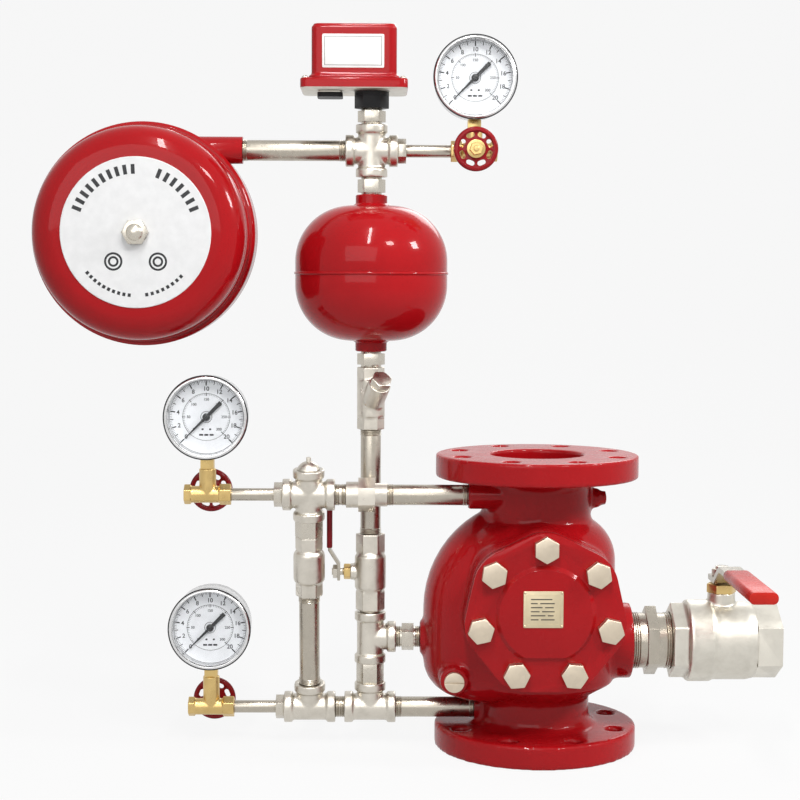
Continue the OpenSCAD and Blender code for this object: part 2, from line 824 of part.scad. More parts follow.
// Plate and screw that hold the seal up against the clapper
module clapper_retainer() {
    bottom = seat_z + run_gap;
    screw_h = clapper_screw_af * 0.37;
    color(ZINC) {
        translate([0, 0, bottom]) cylinder(r = seat_d / 2 - seal_reach - fit_gap, h = seal_t);
        translate([0, 0, bottom - screw_h]) hexagon(clapper_screw_af, screw_h + eps);
        translate([0, 0, bottom + seal_t - eps]) cylinder(r = clapper_screw_r - fit_gap, h = clapper_t);
    }
}

// Main drain

module drain_nipple() {
    color(ZINC) on_drain(drain_boss_x) difference() {
        union() {
            translate([0, 0, -drain_engage]) cylinder(r = drain_r, h = drain_gap + 2 * drain_engage);
            translate([0, 0, drain_gap * 0.37]) hexagon(drain_nipple_af, drain_gap * 0.28);
        }
        translate([0, 0, -drain_engage - eps])
            cylinder(r = drain_way_r, h = drain_gap + 2 * drain_engage + 2 * eps);
    }
}

module drain_valve_body() {
    barrel_x = drain_hex_l;
    split = drain_split_x - drain_valve_x;
    color(ZINC) difference() {
        union() {
            on_drain(drain_valve_x) {
                hexagon(drain_af, drain_hex_l + eps);
                rotate_extrude() polygon([
                    [0, barrel_x], [drain_barrel_r - 2, barrel_x], [drain_barrel_r, barrel_x + 2],
                    [drain_barrel_r, barrel_x + 26], [drain_barrel_r - 2, barrel_x + 28],
                    [drain_barrel_r - 2, split - 9], [drain_barrel_r - 4, split], [0, split]
                ]);
            }
            translate([drain_stem_x, 0, drain_z]) cylinder(r = drain_neck_r, h = drain_neck_z);
        }
        on_drain(drain_valve_x) {
            translate([0, 0, -eps]) cylinder(r = drain_socket_r, h = drain_engage + eps);
            cylinder(r = drain_way_r - 1, h = drain_stem_in);
            translate([0, 0, drain_stem_in - drain_room_l]) cylinder(r = drain_room_r, h = split);
            translate([0, 0, split - drain_spigot_l]) cylinder(r = drain_spigot_r, h = drain_spigot_l + eps);
        }
        translate([drain_stem_x, 0, drain_z]) cylinder(r = drain_stem_r + run_gap, h = drain_neck_z + eps);
    }
}

// Screwed end of the drain valve with the female outlet thread
module drain_valve_end() {
    room_end = drain_stem_x + drain_room_l - drain_split_x;
    color(ZINC) on_drain(drain_split_x) difference() {
        union() {
            translate([0, 0, -drain_spigot_l])
                cylinder(r = drain_spigot_r - fit_gap, h = drain_spigot_l + eps);
            hexagon(drain_af, drain_end_x - drain_split_x);
        }
        translate([0, 0, -drain_spigot_l - eps])
            cylinder(r = drain_room_r, h = room_end + drain_spigot_l + eps);
        cylinder(r = drain_way_r - 1, h = drain_end_x - drain_split_x);
        translate([0, 0, drain_end_x - drain_split_x - 20]) cylinder(d = drain_thread_d, h = 20 + eps);
    }
}

// The ball stands closed, with its passage across the drain
module drain_ball() {
    color(ZINC) translate([drain_stem_x, 0, drain_z]) rotate([90, 0, 0]) rotate([0, 0, -90])
        valve_ball(drain_ball_r, drain_passage_d / 2, drain_stem_d * 0.6);
}

module drain_stem() {
    foot = drain_ball_r + ball_gap;
    top = drain_lever_z + drain_lever_t + drain_nut_l + 3;
    color(ZINC) translate([drain_stem_x, 0, drain_z]) {
        translate([0, 0, foot]) cylinder(r = drain_stem_r, h = top - foot);
        intersection() {
            translate([-drain_stem_d * 0.3, -drain_stem_r, drain_ball_r * (1 - slot_depth)])
                cube([drain_stem_d * 0.6, drain_stem_d, drain_ball_r * slot_depth + 2]);
            cylinder(r = drain_stem_r, h = 2 * drain_ball_r);
        }
        translate([0, 0, drain_lever_z + drain_lever_t]) difference() {
            turned_hex(drain_nut_af, drain_nut_l);
            translate([0, 0, -eps]) cylinder(r = drain_stem_r, h = drain_nut_l + 2 * eps);
        }
    }
}

// Side outline of a lever with a kick, from the stem outwards
function lever_outline(l, t, kick, hub) = [
    [-hub, 0], [hub, 0], [hub + kick * 1.6, kick], [l, kick], [l, kick + t],
    [hub + kick * 1.6 - t * 0.4, kick + t], [hub - t * 0.4, t], [-hub, t]
];

module lever_plate(l, t, w, kick, hub) {
    translate([0, w / 2, 0]) to_front() linear_extrude(w) polygon(lever_outline(l, t, kick, hub));
}

// Dipped sleeve round the outer part of a lever
module lever_sleeve(l, t, w, kick, hub, sleeve_t, sleeve_w, start) {
    r = sleeve_t / 2 - 0.5;
    mid = kick + t / 2;
    difference() {
        translate([start, 0, mid]) to_x() linear_extrude(l + 2 - start) {
            square([sleeve_t, sleeve_w - 2 * r], center = true);
            square([sleeve_t - 2 * r, sleeve_w], center = true);
            for (u = [-1, 1], v = [-1, 1])
                translate([u * (sleeve_t / 2 - r), v * (sleeve_w / 2 - r)]) circle(r = r);
        }
        lever_plate(l, t, w, kick, hub);
    }
}

module on_drain_lever() translate([drain_stem_x, 0, drain_z + drain_lever_z]) rotate([0, 0, -90]) children();

module drain_lever() {
    color(ZINC) difference() {
        on_drain_lever()
            lever_plate(drain_lever_l, drain_lever_t, drain_lever_w, drain_lever_kick, drain_neck_r);
        translate([drain_stem_x, 0, drain_z]) cylinder(r = drain_stem_r + fit_gap, h = 2 * drain_lever_z);
    }
}

module drain_grip() {
    color("red") on_drain_lever() lever_sleeve(drain_lever_l, drain_lever_t, drain_lever_w, drain_lever_kick,
        drain_neck_r, drain_grip_t, drain_grip_w, drain_grip_from);
}

// Alarm ball valve

module on_alarm_valve() on_alarm(alarm_valve_z) children();

module alarm_valve_body() {
    half = alarm_valve_l / 2;
    barrel = half - alarm_hex_l;
    color(ZINC) on_alarm_valve() difference() {
        union() {
            for (s = [0, 180]) rotate([s, 0, 0]) translate([0, 0, barrel - eps])
                hexagon(alarm_af, alarm_hex_l + eps);
            rotate_extrude() polygon([
                [0, -barrel], [alarm_barrel_d / 2 - 3, -barrel], [alarm_barrel_d / 2, -barrel + 5],
                [alarm_barrel_d / 2, barrel - 5], [alarm_barrel_d / 2 - 3, barrel], [0, barrel]
            ]);
            to_left() cylinder(r = alarm_neck_r, h = alarm_neck_x);
        }
        translate([0, 0, -half - eps]) cylinder(r = way_r, h = alarm_valve_l + 2 * eps);
        for (s = [0, 180]) rotate([s, 0, 0]) translate([0, 0, half]) socket();
        translate([0, 0, -alarm_room_h]) cylinder(r = alarm_room_r, h = 2 * alarm_room_h);
        to_left() cylinder(r = alarm_stem_r + run_gap, h = alarm_neck_x + eps);
    }
}

// The ball stands open, with its passage along the riser
module alarm_ball() {
    color(ZINC) on_alarm_valve() valve_ball(alarm_ball_d / 2, way_r, alarm_stem_d * 0.6);
}

module alarm_stem() {
    r = alarm_ball_d / 2;
    top = alarm_lever_x + alarm_lever_t + alarm_nut_l + 1;
    color(ZINC) on_alarm_valve() to_left() {
        translate([0, 0, r + ball_gap]) cylinder(r = alarm_stem_r, h = top - r - ball_gap);
        intersection() {
            translate([-alarm_stem_r, -alarm_stem_d * 0.3, r * (1 - slot_depth)])
                cube([alarm_stem_d, alarm_stem_d * 0.6, r * slot_depth + 2]);
            cylinder(r = alarm_stem_r, h = 2 * r);
        }
        translate([0, 0, alarm_lever_x + alarm_lever_t]) difference() {
            turned_hex(alarm_nut_af, alarm_nut_l);
            translate([0, 0, -eps]) cylinder(r = alarm_stem_r, h = alarm_nut_l + 2 * eps);
        }
    }
}

module on_alarm_lever() on_alarm_valve() translate([-alarm_lever_x, 0, 0]) to_left() children();

module alarm_lever() {
    color(ZINC) on_alarm_lever() difference() {
        lever_plate(alarm_lever_l, alarm_lever_t, alarm_lever_w, alarm_lever_kick, alarm_neck_r);
        translate([0, 0, -eps]) cylinder(r = alarm_stem_r + fit_gap, h = alarm_lever_t + 2 * eps);
    }
}

module alarm_grip() {
    color("red") on_alarm_lever() lever_sleeve(alarm_lever_l, alarm_lever_t, alarm_lever_w, alarm_lever_kick,
        alarm_neck_r, alarm_grip_t, alarm_grip_w, alarm_neck_r + 1.8 * alarm_lever_kick);
}

module ball_seats() {
    color("white") {
        on_alarm_valve() ball_seat_pair(alarm_ball_d / 2, alarm_room_r, alarm_room_h, way_r);
        on_drain(drain_stem_x) ball_seat_pair(drain_ball_r, drain_room_r, drain_room_l, drain_way_r - 1);
    }
}

// Gland nuts of the two ball valves and the three needle valves
module gland_nuts() {
    color(BRASS) {
        translate([drain_stem_x, 0, drain_z + drain_neck_z]) difference() {
            turned_hex(drain_gland_af, drain_gland_l);
            translate([0, 0, -eps]) cylinder(r = drain_stem_r + run_gap, h = drain_gland_l + 2 * eps);
        }
        on_alarm_valve() translate([-alarm_neck_x, 0, 0]) to_left() difference() {
            turned_hex(alarm_gland_af, alarm_gland_l);
            translate([0, 0, -eps]) cylinder(r = alarm_stem_r + run_gap, h = alarm_gland_l + 2 * eps);
        }
        for (g = gauges) on_needle(g) translate([0, bonnet_y, 0]) to_back() difference() {
            turned_hex(gland_af, gland_l);
            translate([0, 0, -eps]) cylinder(r = needle_r + run_gap, h = gland_l + 2 * eps);
        }
    }
}

// Trim lines

module check_valve_body() {
    hex_l = engage + 2;
    color(ZINC) on_bypass(check_z) difference() {
        union() {
            hexagon(nipple_af, hex_l + eps);
            translate([0, 0, check_l - hex_l - eps]) hexagon(nipple_af, hex_l + eps);
            rotate_extrude() polygon(concat(
                [[0, hex_l], [check_d / 2 - 4, hex_l]],
                arc(check_d / 2 - 5, hex_l + 6, 5, -50, 0, 3),
                arc(check_d / 2 - 8, check_l - hex_l - 8, 8, 0, 60, 4),
                [[check_d / 2 - 4, check_l - hex_l], [0, check_l - hex_l]]
            ));
        }
        translate([0, 0, -eps]) cylinder(r = way_r, h = check_l + 2 * eps);
        translate([0, 0, check_seat_z]) cylinder(r = check_room_r, h = check_room);
        rotate([180, 0, 0]) socket();
        translate([0, 0, check_l]) socket();
    }
}

// Lift disc of the check valve on its seat, with a guide above
module check_disc() {
    color(BRASS) on_bypass(check_z + check_seat_z + run_gap) rotate_extrude() polygon([
        [0, 0], [check_room_r - 1, 0], [check_room_r - 1, check_disc_t], [3, check_disc_t],
        [3, check_room - check_lift - 1], [0, check_room - check_lift - 1]
    ]);
}

// Union on the upper line: two tails and the nut that draws them together
module line_union() {
    mid = union_l / 2;
    tail_r = pipe_r + 3;
    flange_l = 5;
    color(ZINC) on_upper(union_x) translate([0, 0, -mid]) {
        difference() {
            cylinder(r = tail_r, h = mid);
            translate([0, 0, -eps]) cylinder(r = way_r, h = mid + 2 * eps);
            rotate([180, 0, 0]) socket();
        }
        difference() {
            union() {
                translate([0, 0, mid]) cylinder(r = tail_r - 1.5, h = mid);
                translate([0, 0, mid]) cylinder(r = tail_r, h = flange_l);
            }
            translate([0, 0, mid - eps]) cylinder(r = way_r, h = mid + 2 * eps);
            translate([0, 0, union_l]) socket();
        }
        difference() {
            translate([0, 0, mid - 9]) hexagon(union_af, 18);
            translate([0, 0, mid - 9 - eps]) cylinder(r = tail_r + fit_gap, h = 9 + flange_l + eps);
            cylinder(r = tail_r - 1.5 + fit_gap, h = union_l);
        }
    }
}

// Domed plug in the top of the upper cross
module dome_plug() {
    color(ZINC) on_bypass(bypass_l + reach) {
        translate([0, 0, -engage]) cylinder(r = pipe_r, h = engage + eps);
        intersection() {
            translate([0, 0, -dome_r * 0.35]) sphere(r = dome_r);
            cylinder(r = dome_r, h = 2 * dome_r);
        }
        translate([0, 0, dome_r * 0.6]) cylinder(r = 2.6, h = 5);
    }
}

module trim_pipes() {
    color(ZINC) {
        on_alarm(alarm_z + reach) pipe_run(close_gap);
        on_alarm(riser_z) pipe_run(riser_l);
        on_bypass(reach) pipe_run(check_z - reach);
        on_lower(bypass_x - reach) pipe_run(bypass_x - alarm_x - 2 * reach);
        on_lower(alarm_x - reach) pipe_run(alarm_x - reach - lower_boss_x);
        on_upper(bypass_x - reach) pipe_run(bypass_x - reach - union_x - union_l / 2);
        on_upper(union_x - union_l / 2) pipe_run(union_x - union_l / 2 - upper_boss_x);
        translate([-gong_x + inlet_reach, 0, cross_z]) to_x()
            pipe_run(gong_x - inlet_reach - alarm_x - reach);
    }
}

module gauge_tube(l) ring(tube_r, tube_r - 2, l);

module gauge_tubes() {
    start = bush_l - tube_engage;
    end = needle_body_l / 2 - tube_engage;
    color(ZINC) {
        on_upper(gauge_x - end) gauge_tube(gauge_x - end - bypass_x - reach - start);
        on_lower(gauge_x - end) gauge_tube(gauge_x - end - bypass_x - reach - start);
        translate([-alarm_x + reach + start, 0, cross_z]) to_x()
            gauge_tube(alarm_x - reach - start - alarm_gauge_x - end);
    }
}

module hex_nipples() {
    color(ZINC) {
        on_alarm(lower_z + reach) hex_nipple(test_gap, test_gap);
        translate([-alarm_x + reach, 0, alarm_z]) to_x()
            hex_nipple(alarm_x - reach - alarm_boss_x, (alarm_x - reach - alarm_boss_x) / 2);
        on_bypass(bypass_l - reach - check_gap) hex_nipple(check_gap, check_gap);
        on_alarm(strainer_z + strainer_l) hex_nipple(nipple_gap, nipple_gap - 5);
        on_alarm(tank_z + tank_l) hex_nipple(cross_gap, cross_gap - 5);
        on_alarm(cross_z + reach) hex_nipple(nipple_gap, nipple_gap - 5);
        on_upper(bypass_x + reach) rotate([180, 0, 0]) reducing_bush();
        on_lower(bypass_x + reach) rotate([180, 0, 0]) reducing_bush();
        translate([-alarm_x + reach, 0, cross_z]) to_x() reducing_bush();
    }
}

// Two tees of the lower line, the alarm tee, the upper cross and the top cross
module pipe_fittings() {
    color(ZINC) {
        on_bypass(0) to_x() fitting([180]);
        on_lower(alarm_x) fitting([180]);
        on_alarm(alarm_z) fitting([0]);
        on_bypass(bypass_l) to_x() fitting([0, 180]);
        on_alarm(cross_z) fitting([0, 180]);
    }
}

// Strainer with a slanted leg that holds the screen

module on_leg() on_alarm(strainer_z + leg_z) rotate([0, 0, -leg_turn]) rotate([0, 45, 0]) children();

module strainer_body() {
    hex_l = engage + 2;
    color(ZINC) difference() {
        union() {
            on_alarm(strainer_z) {
                hexagon(nipple_af, hex_l + eps);
                translate([0, 0, hex_l]) cylinder(d = strainer_d, h = strainer_l - 2 * hex_l);
                translate([0, 0, strainer_l - hex_l - eps]) hexagon(nipple_af, hex_l + eps);
            }
            on_leg() cylinder(r = leg_r, h = leg_l);
        }
        on_alarm(strainer_z) {
            translate([0, 0, -eps]) cylinder(r = way_r, h = strainer_l + 2 * eps);
            rotate([180, 0, 0]) socket();
            translate([0, 0, strainer_l]) socket();
        }
        on_leg() cylinder(r = leg_bore_r, h = leg_l + eps);
    }
}

module strainer_cap() {
    color(ZINC) on_leg() {
        translate([0, 0, leg_l - leg_plug_l]) cylinder(r = leg_bore_r - ball_gap, h = leg_plug_l + eps);
        translate([0, 0, leg_l]) rotate([0, 0, 30]) turned_hex(leg_cap_af, leg_cap_l);
    }
}

module strainer_screen() {
    color("gray") on_leg() translate([0, 0, 4])
        ring(leg_bore_r - 0.5, leg_bore_r - 1.3, leg_l - leg_plug_l - 4);
}

// Retard chamber: two dished halves with a weld bead, and a neck at each end

function tank_outline(inset) = let(
    low = tank_neck_l + inset,
    high = tank_l - tank_neck_l - inset,
    r = tank_edge_r - inset,
    c = tank_d / 2 - tank_edge_r
) concat(
    [[0, low]],
    arc(c, low + r, r, -90, 0, 10),
    arc(c, high - r, r, 0, 90, 10),
    [[0, high]]
);

module retard_chamber() {
    bead = 1.5;
    color(RED) on_alarm(tank_z) difference() {
        union() {
            rotate_extrude() polygon(tank_outline(0));
            cylinder(d = tank_neck_d, h = tank_l);
            translate([0, 0, tank_l / 2]) rotate_extrude() polygon([
                [tank_d / 2 - 1, -3], [tank_d / 2 + bead, -1], [tank_d / 2 + bead, 1], [tank_d / 2 - 1, 3]
            ]);
        }
        rotate_extrude() polygon(tank_outline(tank_wall));
        translate([0, 0, -eps]) cylinder(r = way_r, h = tank_l + 2 * eps);
        rotate([180, 0, 0]) socket();
        translate([0, 0, tank_l]) socket();
    }
}

// Pressure switch

module rounded_plate(w, d, h, r) {
    linear_extrude(h) {
        square([w - 2 * r, d], center = true);
        square([w, d - 2 * r], center = true);
        for (u = [-1, 1], v = [-1, 1]) translate([u * (w / 2 - r), v * (d / 2 - r)]) circle(r = r);
    }
}

module on_switch(z) on_alarm(z) translate([-switch_shift, 0, 0]) children();

module switch_collar() {
    color("black") on_alarm(collar_z) difference() {
        union() {
            hexagon(collar_af, collar_h);
            translate([0, 0, collar_h - 4]) cylinder(d = collar_af + 4, h = 4);
        }
        rotate([180, 0, 0]) socket();
        translate([0, 0, -eps]) cylinder(r = way_r - 4, h = collar_h + 2 * eps);
    }
}

// Cast base with a shallow tray on top, and a blank knock-out boss under the left side
module switch_base() {
    tray_h = 4;
    color("lightgray") difference() {
        union() {
            on_switch(base_z) rounded_plate(base_w, base_d, base_t, 8);
            on_switch(base_z) translate([-base_w / 2 + 30, 0, -6]) rounded_plate(26, 30, 6 + eps, 5);
        }
        on_switch(switch_z - tray_h) rounded_plate(switch_w - 12, switch_d - 12, tray_h + eps, 5);
        on_switch(base_z - 6) translate([-base_w / 2 + 30, 0, -eps]) ring(9.5, 8.5, 1);
        on_alarm(base_z) translate([0, 0, -eps]) cylinder(r = way_r - 4, h = base_t + 2 * eps);
    }
}

module switch_cover() {
    wall = 2.5;
    edge = 8;
    top = switch_h - 3;
    entry_l = 12;
    entry_z = switch_h * 0.45;
    color(RED) on_switch(switch_z) difference() {
        union() {
            rounded_plate(switch_w, switch_d, top, edge);
            rounded_plate(switch_w - 4, switch_d - 4, switch_h, edge - 2);
            rounded_plate(switch_w + 6, switch_d + 6, 4, edge + 3);
        }
        difference() {
            translate([0, 0, -eps])
                rounded_plate(switch_w - 2 * wall, switch_d - 2 * wall, switch_h - 2 * wall, edge - wall);
            translate([0, switch_d / 2 - entry_l, entry_z]) to_back() cylinder(d = entry_d + 8, h = entry_l);
        }
        translate([0, switch_d / 2 - entry_l - eps, entry_z]) to_back()
            cylinder(d = entry_d, h = entry_l + 2 * eps);
    }
}

// Water motor gong

module motor_housing() {
    color(RED) on_gong() difference() {
        union() {
            translate([0, motor_front, 0]) to_back() rotate_extrude() polygon([
                [0, 0], [motor_r - 3, 0], [motor_r, 3], [motor_r, motor_w], [0, motor_w]
            ]);
            translate([0, 0, inlet_rise]) to_x() cylinder(d = inlet_d, h = inlet_reach);
        }
        translate([0, motor_front + motor_wall, 0]) to_back() cylinder(r = motor_room_r, h = motor_w);
        translate([0, motor_front - eps, 0]) to_back() cylinder(r = hub_r + 2 * run_gap, h = motor_w);
        translate([inlet_reach, 0, inlet_rise]) to_x() {
            socket();
            translate([0, 0, -inlet_reach + 10]) cylinder(r = 5, h = inlet_reach - 10);
        }
    }
}

// Back cover with the stud's boss and the outlet spout
module motor_back_cover() {
    spout_h = motor_cover_t + drain_spout_l;
    spout_z = -motor_room_r + drain_spout_r + 4;
    color(RED) on_gong() difference() {
        union() {
            translate([0, motor_back, 0]) to_back() cylinder(r = motor_r, h = motor_cover_t);
            translate([0, motor_back, 0]) to_back()
                cylinder(r = stud_r + 10, h = motor_cover_t + stud_boss_h);
            translate([0, motor_back, spout_z]) to_back() cylinder(r = drain_spout_r + 4, h = spout_h);
        }
        translate([0, motor_back - eps, 0]) to_back() cylinder(r = stud_r + fit_gap, h = 2 * spout_h);
        translate([0, motor_back - eps, spout_z]) to_back()
            cylinder(r = drain_spout_r, h = spout_h + 2 * eps);
    }
}

// Fixed stud: head behind the cover, journal for the impeller, shoulder that carries the gong
module gong_stud() {
    shoulder_y = striker_y - striker_t - 0.5;
    head_y = motor_back + motor_cover_t + stud_boss_h;
    tip_y = gong_face - nut_h - 2;
    inside_y = gong_face + gong_t;
    color(ZINC) on_gong() {
        translate([0, head_y, 0]) to_back() turned_hex(stud_af, stud_head_h);
        translate([0, tip_y, 0]) to_back() cylinder(r = stud_r, h = head_y + eps - tip_y);
        translate([0, inside_y, 0]) to_back() cylinder(r = stud_shoulder_r, h = shoulder_y - inside_y);
    }
}

// Gong outline from the rim, z = 0, to its face
function gong_outline(inset) = let(r = gong_edge_r - inset, c = gong_d / 2 - gong_edge_r) concat(
    [[0, 0], [gong_d / 2 - inset, 0]],
    arc(c, gong_h - gong_edge_r, r, 0, 90, 10),
    [[0, gong_h - inset]]
);

module gong_bell() {
    color(RED) on_gong() translate([0, gong_lip, 0]) to_front() difference() {
        union() {
            rotate_extrude() polygon(gong_outline(0));
            ring(gong_d / 2 + 2, gong_d / 2 - 1, 4);
        }
        translate([0, 0, -eps]) linear_extrude(eps + 0.1) circle(r = gong_d / 2 - gong_t);
        rotate_extrude() polygon(gong_outline(gong_t));
        cylinder(r = stud_r + fit_gap, h = gong_h + eps);
    }
}

module gong_nut() {
    color(ZINC) on_gong() translate([0, gong_face, 0]) to_front() difference() {
        union() {
            turned_hex(nut_af, nut_h);
            intersection() {
                translate([0, 0, nut_h - 6]) sphere(r = nut_af * 0.44);
                cylinder(r = nut_af, h = nut_h + 6);
            }
        }
        translate([0, 0, -eps]) cylinder(r = stud_r, h = nut_h + 2 + eps);
    }
}

// Paddle wheel on a hub that runs on the stud and comes out through the front wall
module impeller() {
    wheel_t = 6;
    vane_w = 16;
    vane_l = 26;
    color("peru") on_gong() difference() {
        union() {
            translate([0, -wheel_t / 2, 0]) to_back() cylinder(r = impeller_d / 2 - vane_l + 4, h = wheel_t);
            for (i = [0:vanes - 1]) rotate([0, i * 360 / vanes, 0]) translate([0, 0, impeller_d / 2 - vane_l])
                rotate([0, 0, 25]) translate([-1.25, -vane_w / 2, 0]) cube([2.5, vane_w, vane_l - 1]);
            translate([0, striker_y, 0]) to_back() cylinder(r = hub_r, h = motor_back - 1 - striker_y);
        }
        translate([0, gong_face, 0]) to_back() cylinder(r = stud_r + run_gap, h = motor_back - gong_face);
    }
}

// Striker arm on the hub's front end, with a hammer near the gong's wall
module striker() {
    hammer_at = gong_d / 2 - gong_t - hammer_r - hammer_clear;
    color(ZINC) on_gong() translate([0, striker_y, 0]) to_front() difference() {
        union() {
            cylinder(r = hub_r + 4, h = striker_t);
            translate([-striker_w / 2, -hammer_at, 0]) cube([striker_w, hammer_at, striker_t]);
            translate([0, -hammer_at, -hammer_l * 0.4]) cylinder(r = hammer_r, h = hammer_l);
            translate([-striker_w * 0.8, 0, 0]) cube([striker_w * 1.6, striker_w * 3, striker_t]);
        }
        translate([0, 0, -eps]) cylinder(r = stud_r + run_gap, h = striker_t + 2 * eps);
    }
}

// Gauges

module gauge_cases() {
    inside_r = case_r - case_wall;
    color(ZINC) each_gauge() difference() {
        translate([0, rim_y, 0]) to_back() cylinder(r = case_r, h = gauge_back - rim_y);
        translate([0, rim_y - eps, 0]) to_back() cylinder(r = inside_r, h = dial_y + dial_t - rim_y + eps);
        translate([0, rim_y, 0]) to_back() cylinder(r = inside_r - 3, h = gauge_back - rim_y - case_wall);
        translate([0, 0, -2 * case_r]) cylinder(r = gauge_thread_r + fit_gap, h = case_r * 1.55);
    }
}

module gauge_bezels() {
    color(ZINC) each_gauge() difference() {
        translate([0, gauge_front, 0]) to_back() rotate_extrude() polygon([
            [bezel_r - bezel_w, 0], [bezel_r - 2, 0], [bezel_r, 2],
            [bezel_r, bezel_l], [bezel_r - bezel_w, bezel_l]
        ]);
        translate([0, glass_y, 0]) to_back() cylinder(r = case_r + fit_gap, h = gauge_depth);
    }
}

module gauge_dials() {
    color("white") each_gauge() translate([0, dial_y, 0]) to_back() ring(dial_r, spindle_r + run_gap, dial_t);
}

module gauge_glasses() {
    color("lightcyan", 0.4) each_gauge() translate([0, glass_y, 0]) to_back()
        cylinder(r = case_r - 1, h = glass_t);
}

// Brass sockets: screwed into the gauge valve, square for the spanner, up into the case
module gauge_sockets() {
    top = case_r + case_gap;
    color(BRASS) each_gauge() {
        translate([-socket_af / 2, -socket_af / 2, -top - socket_h]) cube([socket_af, socket_af, socket_h]);
        translate([0, 0, -top - eps]) cylinder(r = gauge_thread_r, h = 14);
        translate([0, 0, -top - socket_h - gauge_thread_l])
            cylinder(r = gauge_thread_r, h = gauge_thread_l + eps);
    }
}

// Needle valve body: tube end at +X, blind end at -X, bonnet to +Y
module gauge_valve_bodies() {
    r = needle_body_d / 2;
    half = needle_body_l / 2;
    color(BRASS) for (g = gauges) {
        neck = g[1] - case_r - case_gap - socket_h;
        on_needle(g) difference() {
            union() {
                translate([-half, 0, 0]) to_x() cylinder(r = r, h = needle_body_l - 11);
                translate([half - 12, 0, 0]) to_x() hexagon(needle_body_d + 2, 12);
                translate([-half, 0, 0]) to_x() hexagon(needle_body_d + 1, 7);
                cylinder(r = gauge_thread_r + 3, h = neck);
                to_back() cylinder(r = bonnet_r, h = bonnet_y);
            }
            translate([half - tube_engage, 0, 0]) to_x()
                cylinder(r = tube_r + fit_gap, h = tube_engage + eps);
            to_x() cylinder(r = needle_way_r, h = half);
            cylinder(r = needle_way_r - 0.3, h = neck);
            translate([0, 0, neck - gauge_thread_l])
                cylinder(r = gauge_thread_r + fit_gap, h = gauge_thread_l + eps);
            to_back() cylinder(r = needle_r + 0.4, h = bonnet_y + eps);
        }
    }
}

module needle_stem(g) {
    color(ZINC) on_needle(g) to_back() rotate_extrude() polygon([
        [0, needle_tip], [needle_r * 0.3, needle_tip], [needle_r, needle_tip + 4],
        [needle_r, wheel_y + wheel_t], [0, wheel_y + wheel_t]
    ]);
}

module needle_stem_upper() needle_stem(gauges[0]);
module needle_stem_lower() needle_stem(gauges[1]);
module needle_stem_alarm() needle_stem(gauges[2]);

// Handwheel: rounded rim, thin web with a ring of holes, hub and cap nut
module handwheel(g) {
    r = wheel_d / 2;
    web_y = (wheel_t - wheel_web_t) / 2;
    rim = 4.5;
    slot_r = 2.6;
    slot_at = r - rim - slot_r - 1;
    color("crimson") on_needle(g) translate([0, wheel_y, 0]) to_back() difference() {
        union() {
            rotate_extrude() polygon(concat(
                [[r - rim, 0], [r - 2.5, 0]],
                arc(r - 2.5, 2.5, 2.5, -90, 0, 4),
                arc(r - 2.5, wheel_t - 2.5, 2.5, 0, 90, 4),
                [[r - rim, wheel_t]]
            ));
            translate([0, 0, web_y]) cylinder(r = r - rim + eps, h = wheel_web_t);
            cylinder(r = wheel_hub_r, h = wheel_t);
            translate([0, 0, wheel_t - eps]) turned_hex(wheel_hub_r * 1.5, 4.5);
        }
        translate([0, 0, -eps]) cylinder(r = needle_r + run_gap, h = wheel_t + 2 * eps + run_gap);
        for (i = [0:wheel_holes - 1]) rotate([0, 0, (i + 0.5) * 360 / wheel_holes])
            translate([slot_at, 0, -eps]) linear_extrude(wheel_t + 2 * eps)
                polygon(concat(arc(0, 2, slot_r, 0, 180, 6), arc(0, -2, slot_r, 180, 360, 6)));
    }
}

module handwheel_upper() handwheel(gauges[0]);
module handwheel_lower() handwheel(gauges[1]);
module handwheel_alarm() handwheel(gauges[2]);

// Pointer at zero, its tip to the lower left, on a spindle through the dial
module pointer(g) {
    tip = dial_r * 0.8;
    tail = dial_r * 0.55;
    color("black") on_gauge(g) translate([0, dial_y - 2.5, g[1]]) to_back() {
        cylinder(r = spindle_r, h = 10);
        rotate([0, 0, 135]) linear_extrude(pointer_t) {
            polygon([[-tail, -2.2], [0, -1.6], [tip, -0.35], [tip, 0.35], [0, 1.6], [-tail, 2.2]]);
            circle(r = 4);
        }
    }
}

module pointer_upper() pointer(gauges[0]);
module pointer_lower() pointer(gauges[1]);
module pointer_alarm() pointer(gauges[2]);

valve_body();
seat_ring();
hinge_pin();
cover_gasket();
access_cover();
cover_bolts();
clapper();
clapper_seal();
clapper_retainer();
drain_nipple();
drain_valve_body();
drain_valve_end();
drain_ball();
drain_stem();
drain_lever();
drain_grip();
alarm_valve_body();
alarm_ball();
alarm_stem();
alarm_lever();
alarm_grip();
check_valve_body();
check_disc();
line_union();
dome_plug();
retard_chamber();
ball_seats();
gland_nuts();
trim_pipes();
gauge_tubes();
hex_nipples();
pipe_fittings();
strainer_body();
strainer_cap();
strainer_screen();
motor_housing();
motor_back_cover();
gong_stud();
gong_bell();
gong_nut();
impeller();
striker();
switch_collar();
switch_base();
switch_cover();
gauge_cases();
gauge_bezels();
gauge_dials();
gauge_glasses();
gauge_sockets();
gauge_valve_bodies();
needle_stem_upper();
needle_stem_lower();
needle_stem_alarm();
handwheel_upper();
handwheel_lower();
handwheel_alarm();
pointer_upper();
pointer_lower();
pointer_alarm();
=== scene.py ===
"""Looks of a sprinkler alarm valve with its trim: cast skins, softened edges, lathe-turned sheet metal,
gauge prints, thread ridges, plates and labels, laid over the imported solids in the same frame."""

import json
import math

import bmesh
import bpy
import numpy as np
from mathutils import Matrix, Vector

